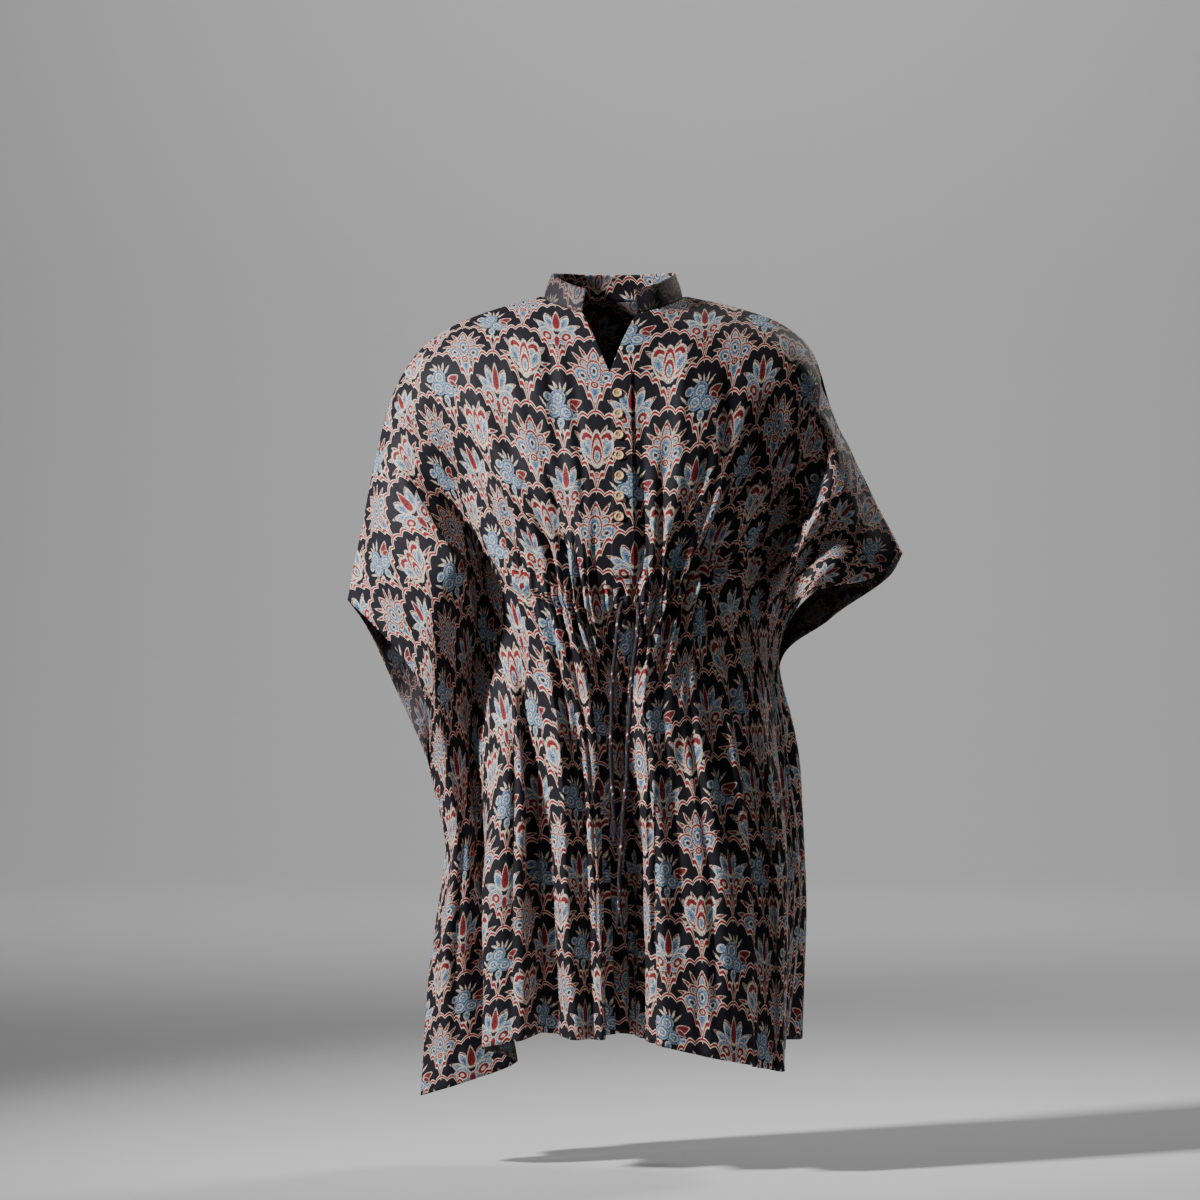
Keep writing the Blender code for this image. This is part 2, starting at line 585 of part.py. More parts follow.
def make_buttons():
    """Turned wooden buttons with a raised rim, in a row down the placket."""
    for k in range(BUTTON_COUNT):
        w = BUTTON_FIRST_W + k * BUTTON_PITCH_W
        grid_u, grid_w = np.meshgrid([BUTTON_U - 8.0, BUTTON_U, BUTTON_U + 8.0],
                                     [w - 10, w, w + 10], indexing="ij")
        face = panel_points(grid_u, grid_w, "front")
        out = normals(face, "front")[1, 1]
        clear = CLOTH + PLACKET_CLOTH + 2 * SEAM_GAP + BUTTON_LIFT
        centre = face[1, 1] + out * clear
        profile = (
            (0, 0), (0, BUTTON_RADIUS * 0.8), (BUTTON_THICK * 0.45, BUTTON_RADIUS),
            (BUTTON_THICK, BUTTON_RADIUS * 0.92), (BUTTON_THICK, BUTTON_RADIUS - BUTTON_RIM * 1.6),
            (BUTTON_THICK * 0.62, BUTTON_RADIUS - BUTTON_RIM * 2.6), (BUTTON_THICK * 0.62, 0),
        )
        turned(f"button_{k + 1}", profile, centre, out, "wood", BUTTON_SIDES)


def make_tie(tie):
    """One drawstring end: a soft round tube that hangs from the casing, and its tip."""
    route = np.array(tie.route, float) * MM
    length = np.concatenate([[0], np.cumsum(np.linalg.norm(np.diff(route, axis=0), axis=1))])
    line = through(np.linspace(0, length[-1], TIE_POINTS), length, route)
    curve = bpy.data.curves.new(tie.name, "CURVE")
    curve.dimensions = "3D"
    curve.bevel_depth = TIE_RADIUS
    curve.bevel_resolution = 2
    curve.use_fill_caps = True
    spline = curve.splines.new("POLY")
    spline.points.add(len(line) - 1)
    for point, place in zip(spline.points, line):
        point.co = (*place, 1)
    obj = bpy.data.objects.new(tie.name, curve)
    bpy.context.scene.collection.objects.link(obj)
    obj.data.materials.append(finish("tie"))
    down = line[-1] - line[-2]
    down /= np.linalg.norm(down)
    profile = [(0.0, 0.0)]
    for share, radius in ((0.0, 0.62), (0.1, 0.95), (0.22, 0.62), (0.5, 0.9), (0.78, 1.0), (0.96, 0.5)):
        profile.append((share * TIE_TIP_LENGTH, radius * TIE_TIP_RADIUS))
    profile.append((TIE_TIP_LENGTH, 0.0))
    turned(tie.name + "_tip", profile, line[-1] + down * SEAM_GAP, down, "tie", 10)


def main():
    for obj in list(bpy.data.objects):
        bpy.data.objects.remove(obj)
    u, w, _, outer = make_panel("front")
    make_panel("back")
    make_placket(u, w, outer)
    make_collar()
    make_buttons()
    for tie in TIES:
        make_tie(tie)


main()
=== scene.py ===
"""Looks of a short block-printed cotton kaftan, worn over nothing, in a plain studio.

Every piece is made on the same cut as the solids. On a panel, u runs across from the
centre front or back and w runs down from the top of the shoulder, in millimetres.
The sections say where the cut lies when it is worn. The print is drawn on the cut,
so it turns with the grain of the cloth on the sleeves.
"""

import logging
import math
from dataclasses import dataclass, field
from enum import Enum
from typing import NamedTuple, Sequence

import bmesh
import bpy
import numpy as np
from mathutils import Matrix, Vector

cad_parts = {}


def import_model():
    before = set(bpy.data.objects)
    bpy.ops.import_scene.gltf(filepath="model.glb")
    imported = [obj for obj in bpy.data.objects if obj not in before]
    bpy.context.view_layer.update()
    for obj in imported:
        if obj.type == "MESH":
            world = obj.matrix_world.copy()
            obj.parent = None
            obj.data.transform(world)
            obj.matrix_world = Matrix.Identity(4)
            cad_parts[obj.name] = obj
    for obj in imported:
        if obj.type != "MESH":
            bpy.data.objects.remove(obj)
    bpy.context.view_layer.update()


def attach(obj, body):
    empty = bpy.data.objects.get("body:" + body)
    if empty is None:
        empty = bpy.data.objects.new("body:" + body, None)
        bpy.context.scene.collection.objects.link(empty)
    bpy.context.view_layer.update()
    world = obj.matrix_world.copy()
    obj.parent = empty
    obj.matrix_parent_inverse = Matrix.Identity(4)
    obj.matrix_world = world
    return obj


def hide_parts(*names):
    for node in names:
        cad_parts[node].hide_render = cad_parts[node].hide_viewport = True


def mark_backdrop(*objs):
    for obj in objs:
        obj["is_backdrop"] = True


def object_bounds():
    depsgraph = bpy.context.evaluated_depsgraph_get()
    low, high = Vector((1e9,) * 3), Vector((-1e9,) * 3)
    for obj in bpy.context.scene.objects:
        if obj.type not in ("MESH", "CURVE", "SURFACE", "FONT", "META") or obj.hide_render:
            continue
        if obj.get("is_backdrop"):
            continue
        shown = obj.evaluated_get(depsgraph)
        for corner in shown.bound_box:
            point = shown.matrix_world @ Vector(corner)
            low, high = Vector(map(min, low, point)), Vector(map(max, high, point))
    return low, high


log = logging.getLogger("kaftan")

MM = 0.001
Array = np.ndarray


class Side(Enum):
    """Which panel of the garment a point is on."""

    FRONT = "front"
    BACK = "back"


class Point(NamedTuple):
    """One point of a section: its place u on the cut, and where it lies when worn, in mm."""

    u: float
    x: float
    y: float
    z: float


class Section(NamedTuple):
    """A line across a panel, at a share of the way from shoulder to hem."""

    level: float
    points: tuple[Point, ...]


class Crease(NamedTuple):
    """A long soft trough or ridge on the cut, in mm. A depth below 0 is a trough."""

    u_top: float
    w_top: float
    u_low: float
    w_low: float
    width: float
    depth: float


@dataclass(frozen=True)
class Cut:
    """Sizes of the flat cut, in millimetres."""

    half_width: float = 560
    length: float = 905
    shoulder_drop: float = 210
    neck_half: float = 80
    back_neck_drop: float = 12
    slit_u: float = -3
    slit_bottom: float = 102
    slit_top: float = 20
    slit_half: float = 29
    cuff_end: float = 0.42
    casing_w: float = 376
    casing_half: float = 12
    seam_gap: float = 0.3
    wall: float = 1.5
    cloth: float = 0.7


@dataclass(frozen=True)
class Gather:
    """How the drawn-in cloth waves, in millimetres."""

    pitch: float = 37
    sharpness: float = 2.0
    up: float = 95
    down: float = 125
    flute_start: float = 420
    most_spare: float = 1.6
    placket_middle: float = 9
    placket_flat: float = 17
    spans: dict = field(default_factory=lambda: {Side.FRONT: (-215, 285), Side.BACK: (-235, 235)})
    flute_pitch: dict = field(default_factory=lambda: {Side.FRONT: 58, Side.BACK: 150})
    flute_share: dict = field(default_factory=lambda: {Side.FRONT: 0.45, Side.BACK: 0.92})


CUT = Cut()
GATHER = Gather()

# Sections down the front, each from the wearer's right edge to the left one, in
# millimetres. The level is the share of the way from shoulder to hem.
FRONT = (
    Section(0.0, (
        Point(-560, -323, 0, -372), Point(-440, -297, 2, -240), Point(-340, -272, 4, -132),
        Point(-270, -242, 5, -76), Point(-200, -192, 5, -38), Point(-140, -140, 3, -18),
        Point(-80, -88, 0, -4), Point(-45, -52, -45, -10), Point(0, -3, -62, -16),
        Point(45, 50, -45, -10), Point(80, 88, 0, -4), Point(140, 140, 3, -15),
        Point(200, 192, 5, -31), Point(270, 241, 5, -72), Point(340, 263, 2, -138),
        Point(440, 301, -8, -222), Point(560, 349, -20, -316),
    )),
    Section(0.06, (
        Point(-560, -298, -28, -394), Point(-440, -285, -38, -266), Point(-340, -264, -40, -160),
        Point(-270, -238, -42, -104), Point(-200, -190, -46, -66), Point(-140, -140, -52, -50),
        Point(-80, -86, -66, -44), Point(0, -3, -88, -58), Point(80, 86, -66, -44),
        Point(140, 140, -52, -47), Point(200, 190, -46, -60), Point(270, 238, -42, -100),
        Point(340, 262, -42, -164), Point(440, 290, -48, -248), Point(560, 320, -50, -340),
    )),
    Section(0.22, (
        Point(-560, -234, -58, -472), Point(-440, -222, -86, -358), Point(-385, -196, -96, -306),
        Point(-340, -188, -50, -274), Point(-270, -178, -54, -238), Point(-200, -156, -98, -212),
        Point(-140, -124, -122, -200), Point(-80, -74, -134, -196),
        Point(-30, -29, -133, -199), Point(30, 31, -133, -199),
        Point(80, 76, -134, -196), Point(140, 128, -122, -198), Point(200, 168, -98, -206),
        Point(270, 192, -64, -232), Point(330, 206, -40, -264), Point(390, 230, -92, -292),
        Point(450, 232, -74, -320), Point(510, 244, -88, -342), Point(560, 236, -84, -366),
    )),
    Section(0.42, (
        Point(-560, -218, -8, -598), Point(-500, -200, -38, -556), Point(-440, -182, -24, -508),
        Point(-385, -172, -8, -464), Point(-340, -160, -14, -434), Point(-270, -134, -52, -402),
        Point(-200, -104, -94, -386), Point(-140, -76, -118, -380), Point(-80, -48, -130, -379),
        Point(-30, -27, -134, -380), Point(30, 30, -135, -380), Point(80, 55, -131, -379),
        Point(140, 84, -121, -378),
        Point(200, 106, -105, -378), Point(270, 138, -78, -384), Point(340, 164, -48, -400),
        Point(440, 188, -38, -432), Point(560, 200, -6, -470),
    )),
    Section(0.52, (
        Point(-560, -204, 8, -668), Point(-500, -188, -20, -640), Point(-430, -170, -4, -588),
        Point(-370, -152, -44, -548), Point(-300, -126, -74, -510), Point(-240, -104, -78, -492),
        Point(-170, -72, -119, -482), Point(-100, -36, -125, -476), Point(-50, -14, -108, -474),
        Point(0, 8, -101, -474), Point(50, 26, -113, -474), Point(85, 42, -127, -474),
        Point(150, 86, -121, -474), Point(215, 128, -102, -476), Point(270, 152, -74, -484),
        Point(340, 174, -58, -500), Point(430, 196, -24, -526), Point(560, 208, 0, -542),
    )),
    Section(0.75, (
        Point(-560, -224, 4, -826), Point(-500, -194, -26, -806), Point(-425, -150, -2, -768),
        Point(-355, -156, -84, -736), Point(-300, -120, -106, -712), Point(-240, -90, -74, -694),
        Point(-170, -56, -125, -686), Point(-100, -18, -126, -680), Point(-50, -4, -74, -676),
        Point(0, 16, -62, -676), Point(50, 32, -98, -678), Point(85, 48, -130, -680),
        Point(150, 104, -126, -684), Point(215, 156, -106, -690), Point(270, 176, -64, -698),
        Point(340, 196, -70, -708), Point(430, 210, -26, -716), Point(560, 228, 8, -712),
    )),
    Section(1.0, (
        Point(-560, -234, -4, -974), Point(-500, -188, -26, -958), Point(-425, -118, -10, -932),
        Point(-335, -154, -88, -908), Point(-280, -112, -112, -897), Point(-238, -84, -82, -890),
        Point(-170, -46, -130, -894), Point(-100, -10, -128, -894), Point(-50, 2, -76, -892),
        Point(0, 20, -58, -894), Point(45, 34, -98, -896), Point(85, 50, -132, -900),
        Point(150, 108, -130, -914), Point(215, 160, -108, -926), Point(270, 182, -74, -934),
        Point(340, 200, -66, -938), Point(430, 202, -24, -922), Point(560, 214, 22, -890),
    )),
)

BACK = (
    Section(0.0, (
        Point(-560, -323, 0, -372), Point(-440, -297, 2, -240), Point(-340, -272, 4, -132),
        Point(-270, -242, 5, -76), Point(-200, -192, 5, -38), Point(-140, -140, 3, -18),
        Point(-80, -88, 0, -4), Point(-45, -56, 44, 2), Point(0, 0, 60, 6),
        Point(45, 56, 44, 2), Point(80, 88, 0, -4), Point(140, 140, 3, -15),
        Point(200, 192, 5, -31), Point(270, 241, 5, -72), Point(340, 263, 2, -138),
        Point(440, 301, -8, -222), Point(560, 349, -20, -316),
    )),
    Section(0.06, (
        Point(-560, -308, 30, -394), Point(-440, -290, 46, -264), Point(-340, -267, 50, -158),
        Point(-270, -239, 54, -102), Point(-200, -190, 60, -62), Point(-140, -140, 68, -44),
        Point(-80, -84, 74, -36), Point(0, 0, 82, -42), Point(80, 84, 74, -36),
        Point(140, 140, 68, -41), Point(200, 190, 60, -56), Point(270, 239, 52, -98),
        Point(340, 264, 48, -160), Point(440, 298, 40, -244), Point(560, 340, 22, -338),
    )),
    Section(0.22, (
        Point(-560, -264, 48, -488), Point(-440, -246, 80, -376), Point(-340, -218, 94, -288),
        Point(-270, -186, 102, -246), Point(-200, -150, 110, -220), Point(-80, -66, 118, -202),
        Point(0, 0, 116, -200), Point(80, 66, 118, -202), Point(200, 152, 110, -212),
        Point(270, 190, 102, -232), Point(340, 222, 92, -264), Point(440, 254, 74, -322),
        Point(560, 266, 42, -394),
    )),
    Section(0.42, (
        Point(-560, -218, -8, -598), Point(-500, -210, 26, -560), Point(-440, -194, 54, -518),
        Point(-340, -160, 86, -442), Point(-270, -128, 98, -408), Point(-200, -96, 106, -390),
        Point(-80, -40, 114, -382), Point(0, 0, 116, -381), Point(80, 40, 114, -382),
        Point(200, 98, 106, -384), Point(270, 132, 96, -394), Point(340, 166, 80, -408),
        Point(440, 192, 46, -438), Point(560, 200, -6, -470),
    )),
    Section(0.52, (
        Point(-560, -204, 8, -668), Point(-440, -186, 62, -594), Point(-340, -154, 92, -534),
        Point(-200, -96, 112, -488), Point(0, 0, 120, -476), Point(200, 98, 112, -480),
        Point(340, 166, 86, -502), Point(440, 196, 54, -524), Point(560, 208, 0, -542),
    )),
    Section(0.75, (
        Point(-560, -224, 4, -826), Point(-440, -190, 70, -782), Point(-340, -152, 100, -738),
        Point(-200, -92, 122, -696), Point(0, 0, 130, -680), Point(200, 98, 122, -686),
        Point(340, 168, 94, -706), Point(440, 204, 62, -716), Point(560, 228, 8, -712),
    )),
    Section(1.0, (
        Point(-560, -234, -4, -974), Point(-440, -192, 64, -952), Point(-340, -150, 102, -926),
        Point(-200, -92, 128, -904), Point(0, 0, 138, -896), Point(200, 96, 130, -900),
        Point(340, 166, 102, -914), Point(440, 204, 68, -914), Point(560, 214, 22, -890),
    )),
)

# Long soft creases pressed into a panel, from their upper to their lower end on the cut.
FRONT_CREASES = (
    Crease(-78, 30, -62, 350, 16, -7), Crease(-150, 150, -96, 360, 22, -8),
    Crease(-235, 190, -150, 372, 24, -9), Crease(-60, 180, -40, 372, 14, 5),
    Crease(68, 180, 66, 330, 15, -3), Crease(98, 230, 92, 350, 14, -3),
    Crease(205, 180, 170, 372, 22, -8), Crease(262, 150, 228, 372, 24, 8),
    Crease(-330, 110, -395, 330, 26, -10), Crease(300, 110, 372, 300, 24, -10),
    Crease(34, 200, 35, 360, 10, -4), Crease(-128, 382, -138, 1120, 13, -18),
    Crease(58, 220, 58, 540, 9, 3), Crease(-66, 386, -70, 1060, 11, -13), Crease(8, 440, 16, 760, 16, -5),
    Crease(112, 420, 120, 820, 15, -9), Crease(284, 400, 276, 1140, 22, -4),
    Crease(-196, 378, -190, 690, 13, -11), Crease(-262, 380, -252, 760, 14, -12),
    Crease(182, 382, 196, 700, 14, -11), Crease(236, 386, 246, 640, 15, -6),
    Crease(-96, 250, -88, 374, 11, -8), Crease(132, 262, 112, 370, 14, -4),
)
BACK_CREASES = (
    Crease(-120, 120, -70, 370, 26, 7), Crease(-30, 160, -20, 372, 20, -6),
    Crease(70, 130, 50, 372, 22, 6), Crease(170, 150, 120, 372, 24, -7),
    Crease(-250, 160, -190, 372, 26, -8), Crease(290, 130, 240, 380, 26, 8),
    Crease(-360, 150, -440, 360, 28, -9), Crease(370, 140, 450, 340, 28, -9),
)

# Smaller creases than the solids hold. Each is uneven in its own way.
FRONT_FINE = (
    Crease(-104, 376, -116, 900, 7, -7), Crease(-74, 376, -86, 1060, 7, -8),
    Crease(-30, 380, -40, 1080, 7, -8), Crease(50, 376, 44, 980, 7, -7),
    Crease(258, 376, 228, 1120, 9, -9), Crease(-152, 376, -164, 880, 8, -8),
    Crease(150, 376, 166, 900, 8, -7), Crease(-300, 400, -292, 1050, 10, -7),
    Crease(-226, 376, -214, 980, 9, -8), Crease(8, 372, 12, 700, 6, -5),
    Crease(-60, 296, -48, 402, 5, -5), Crease(-92, 286, -70, 402, 6, -5),
    Crease(-132, 276, -98, 400, 7, -6), Crease(44, 266, 44, 402, 6, -4),
    Crease(86, 276, 72, 402, 6, -5), Crease(120, 286, 96, 402, 7, -5),
    Crease(162, 276, 130, 400, 8, -6), Crease(208, 286, 170, 402, 8, -5),
    Crease(-118, 60, -92, 250, 9, -3.2), Crease(-98, 110, -74, 360, 7, -3.0),
    Crease(-64, 40, -55, 210, 7, 2.4), Crease(-46, 90, -34, 368, 6, -2.6),
    Crease(-172, 190, -120, 372, 9, -4.0), Crease(-190, 120, -142, 300, 12, 3.4),
    Crease(-222, 230, -160, 374, 10, 4.0), Crease(-262, 210, -190, 376, 11, -4.6),
    Crease(-300, 240, -214, 380, 12, 4.4), Crease(-345, 200, -300, 420, 13, -5.0),
    Crease(-405, 230, -360, 430, 12, 4.0), Crease(-280, 90, -318, 210, 16, -3.6),
    Crease(-372, 150, -452, 300, 14, -4.2), Crease(-470, 190, -520, 330, 16, 3.6),
    Crease(-250, 400, -232, 640, 9, -4.2), Crease(-176, 400, -160, 700, 8, 3.6),
    Crease(-118, 395, -104, 610, 7, -3.4), Crease(-66, 400, -66, 840, 8, -3.8),
    Crease(-88, 420, -84, 690, 6, 2.6), Crease(-24, 390, -16, 620, 7, -3.0),
    Crease(34, 120, 34, 340, 6, -2.2), Crease(64, 160, 56, 368, 7, -2.8),
    Crease(76, 90, 84, 260, 8, 2.4), Crease(124, 180, 104, 372, 8, -3.4),
    Crease(142, 110, 150, 240, 12, -2.8), Crease(158, 230, 128, 374, 9, 3.4),
    Crease(190, 200, 152, 376, 10, -4.0), Crease(232, 210, 182, 380, 10, 3.8),
    Crease(276, 190, 206, 384, 11, -4.6), Crease(318, 170, 262, 390, 12, 4.2),
    Crease(352, 150, 318, 400, 12, -4.4), Crease(386, 110, 420, 250, 13, 3.8),
    Crease(440, 140, 500, 290, 12, -3.6), Crease(300, 80, 330, 150, 16, -3.4),
    Crease(66, 392, 72, 640, 7, -3.2), Crease(104, 396, 116, 720, 9, -3.8),
    Crease(136, 400, 150, 640, 8, 3.0), Crease(188, 400, 204, 800, 10, -4.2),
    Crease(238, 396, 252, 620, 9, 3.6), Crease(286, 410, 300, 760, 10, -4.4),
    Crease(360, 420, 380, 700, 11, 4.0), Crease(-420, 480, -440, 760, 12, -4.6),
    Crease(-500, 500, -520, 820, 12, 4.0), Crease(470, 470, 500, 720, 12, -3.8),
)
BACK_FINE = (
    Crease(-150, 60, -112, 260, 12, -3.2), Crease(-96, 150, -60, 372, 9, 3.4),
    Crease(-52, 90, -40, 300, 10, -3.0), Crease(0, 170, 6, 374, 8, 3.0),
    Crease(44, 110, 34, 330, 10, -3.0), Crease(98, 140, 74, 372, 9, -3.6),
    Crease(146, 80, 128, 280, 12, 3.2), Crease(196, 170, 146, 376, 11, 4.0),
    Crease(-210, 170, -150, 374, 11, 3.8), Crease(-280, 190, -212, 384, 12, -4.4),
    Crease(-330, 150, -380, 330, 15, 4.0), Crease(-440, 190, -500, 330, 15, -4.0),
    Crease(330, 150, 290, 390, 13, -4.2), Crease(392, 120, 450, 290, 14, 4.0),
    Crease(-160, 400, -172, 640, 10, -4.0), Crease(-60, 396, -66, 700, 9, 3.6),
    Crease(30, 398, 40, 620, 9, -3.6), Crease(120, 402, 140, 720, 10, 4.0),
    Crease(250, 410, 272, 700, 11, -4.0), Crease(-340, 430, -362, 760, 12, 4.0),
)


def eased(x: Array) -> Array:
    """A smooth step from 0 to 1."""
    x = np.clip(x, 0.0, 1.0)
    return x * x * (3 - 2 * x)


def through(at: Array, known: Sequence[float], values: Sequence) -> Array:
    """A smooth curve through known values, which doesn't swing past them.

    Args:
        at: where to read the curve.
        known: the places of the values, rising.
        values: one number or one row of numbers a place.

    Returns:
        The values at those places.
    """
    known = np.asarray(known, float)
    values = np.asarray(values, float)
    step = np.diff(known)
    rise = np.diff(values, axis=0) / step.reshape((-1,) + (1,) * (values.ndim - 1))
    slope = np.zeros_like(values)
    slope[0], slope[-1] = rise[0], rise[-1]
    before, after = rise[:-1], rise[1:]
    same = before * after > 0
    total = np.where(same, before + after, 1.0)
    slope[1:-1] = np.where(same, 2 * before * after / total, 0.25 * (before + after))
    at = np.clip(np.asarray(at, float), known[0], known[-1])
    i = np.clip(np.searchsorted(known, at, side="right") - 1, 0, len(step) - 1)
    shape = at.shape + (1,) * (values.ndim - 1)
    h = step[i].reshape(shape)
    t = ((at - known[i]) / step[i]).reshape(shape)
    return (
        (2 * t**3 - 3 * t**2 + 1) * values[i]
        + (t**3 - 2 * t**2 + t) * h * slope[i]
        + (3 * t**2 - 2 * t**3) * values[i + 1]
        + (t**3 - t**2) * h * slope[i + 1]
    )


def wave(u: Array, pitch: float) -> Array:
    """An uneven wave of about that pitch: broad ridges that wander, and narrow valleys."""
    wander = 0.9 * np.sin(u / (2.7 * pitch) + 0.6) + 0.7 * np.sin(u / (1.33 * pitch) + 2.1)
    height = 0.82 + 0.18 * np.sin(u / (1.9 * pitch) + 1.0)
    turn = np.sin(2 * math.pi * u / pitch + wander)
    return height * (1.25 - 2.5 * ((1 - turn) / 2) ** GATHER.sharpness)


def shoulder_w(u: Array) -> Array:
    """How far down the cut the shoulder and overarm line is, in mm."""
    out = np.clip((np.abs(u) - CUT.neck_half) / (CUT.half_width - CUT.neck_half), 0, 1)
    return CUT.shoulder_drop * out**1.1


class Drape:
    """One panel as it is worn: its base form, its gathers and its creases."""

    def __init__(self, side: Side) -> None:
        self.side = side
        self.sections = FRONT if side is Side.FRONT else BACK
        self.large = FRONT_CREASES if side is Side.FRONT else BACK_CREASES
        self.small = FRONT_FINE if side is Side.FRONT else BACK_FINE

    def top_w(self, u: Array) -> Array:
        """How far down the cut the panel starts, at its neckline or shoulder."""
        u = np.asarray(u, float)
        half = CUT.neck_half
        if self.side is Side.BACK:
            neck = CUT.back_neck_drop * np.clip(1 - (u / half) ** 2, 0, 1)
            return np.where(np.abs(u) < half, neck, shoulder_w(u))
        off = np.abs(u - CUT.slit_u)
        reach = np.where(u < CUT.slit_u, half + CUT.slit_u, half - CUT.slit_u) - CUT.slit_half
        neck = CUT.slit_top * np.clip(1 - ((off - CUT.slit_half) / reach) ** 2, 0, 1)
        slit = CUT.slit_bottom + (CUT.slit_top - CUT.slit_bottom) * off / CUT.slit_half
        other = np.where(np.abs(u) < half, neck, shoulder_w(u))
        return np.where(off < CUT.slit_half, slit, other)

    @staticmethod
    def line(u: Array, section: Section) -> Array:
        """The places of the points u along one section."""
        corners = (-CUT.neck_half, CUT.neck_half) if section.level == 0 else ()
        bounds = (-math.inf, *corners, math.inf)
        line = np.zeros(u.shape + (3,))
        for low, high in zip(bounds[:-1], bounds[1:]):
            points = [p for p in section.points if low <= p.u <= high]
            here = (u >= low) & (u <= high)
            if here.any():
                places = [(p.x, p.y, p.z) for p in points]
                line[here] = through(u[here], [p.u for p in points], places)
        return line

    def base(self, u: Array, w: Array) -> Array:
        """Where points of the cut lie before they are gathered, in mm."""
        start = shoulder_w(u)
        share = np.clip((w - start) / (CUT.length - start), 0, 1)
        knots = np.array([s.level for s in self.sections])
        across = np.stack([self.line(u, s) for s in self.sections])
        i = np.clip(np.searchsorted(knots, share, side="right") - 1, 0, len(knots) - 2)
        step = np.diff(knots)
        slope = np.zeros_like(across)
        rise = np.diff(across, axis=0) / step.reshape((-1,) + (1,) * (across.ndim - 1))
        slope[0], slope[-1] = rise[0], rise[-1]
        weight = (step[1:] / (step[1:] + step[:-1])).reshape((-1,) + (1,) * (across.ndim - 1))
        slope[1:-1] = rise[:-1] * weight + rise[1:] * (1 - weight)
        cuff = int(np.argmin(np.abs(knots - CUT.cuff_end)))
        corner = eased((np.abs(u) - 470) / 90)[..., None]
        slope[cuff] = slope[cuff] * (1 - corner) + rise[cuff] * corner
        rows = tuple(np.indices(share.shape))
        t = ((share - knots[i]) / step[i])[..., None]
        h = step[i][..., None]
        low, high = across[(i, *rows)], across[(i + 1, *rows)]
        m_low, m_high = slope[(i, *rows)], slope[(i + 1, *rows)]
        return (
            (2 * t**3 - 3 * t**2 + 1) * low
            + (t**3 - 2 * t**2 + t) * h * m_low
            + (3 * t**2 - 2 * t**3) * high
            + (t**3 - t**2) * h * m_high
        )

    def normals(self, points: Array) -> Array:
        """Unit normals of a grid of points, facing away from the wearer."""
        across = np.gradient(points, axis=0)
        down = np.gradient(points, axis=1)
        pair = (down, across) if self.side is Side.FRONT else (across, down)
        n = np.cross(*pair)
        return n / np.maximum(np.linalg.norm(n, axis=2, keepdims=True), 1e-9)

    def spare(self, u: Array, w: Array) -> Array:
        """How many times wider the cut is than the place that it lies in, less one."""
        high = np.clip(u + 6.0, -CUT.half_width, CUT.half_width)
        low = np.clip(u - 6.0, -CUT.half_width, CUT.half_width)
        lies = np.linalg.norm(self.base(high, w) - self.base(low, w), axis=-1)
        return np.clip((high - low) / np.maximum(lies, 1.0) - 1, 0, GATHER.most_spare)

    def gathers(self, u: Array, w: Array) -> Array:
        """How far the drawn-in cloth stands out of its smooth form, in mm."""
        spare = self.spare(u, w)
        low, high = GATHER.spans[self.side]
        inside = eased((u - low) / 45 + 0.5) * eased((high - u) / 45 + 0.5)
        off = w - CUT.casing_w
        near = np.exp(-np.where(off < 0, off / GATHER.up, off / GATHER.down) ** 2)
        fine = GATHER.pitch / (1 + spare) / math.pi * np.sqrt(spare)
        pitch = GATHER.flute_pitch[self.side]
        wide = pitch / (1 + spare) / math.pi * np.sqrt(spare)
        grown = eased((w - GATHER.flute_start) / 190) * GATHER.flute_share[self.side]
        edge = eased((CUT.half_width - np.abs(u)) / 60)
        if self.side is Side.FRONT:
            across = eased(2 - np.abs(u - GATHER.placket_middle) / GATHER.placket_flat)
            near = near * (1 - across * eased((CUT.casing_w - 16 - w) / 20))
        return (
            fine * near * inside * wave(u, GATHER.pitch)
            + wide * grown * edge * wave(u + 17, pitch)
        )

    @staticmethod
    def creases(u: Array, w: Array, rows: Sequence[Crease]) -> Array:
        """Soft troughs and ridges that fade out at both ends, in mm."""
        height = np.zeros_like(u)
        for c in rows:
            along = np.array([c.u_low - c.u_top, c.w_low - c.w_top], float)
            length = np.hypot(*along)
            along /= length
            run = ((u - c.u_top) * along[0] + (w - c.w_top) * along[1]) / length
            off = (u - c.u_top) * along[1] - (w - c.w_top) * along[0]
            ends = eased(run / 0.3) * eased((1 - run) / 0.22)
            height += c.depth * ends * np.exp(-((off / c.width) ** 2))
        return height

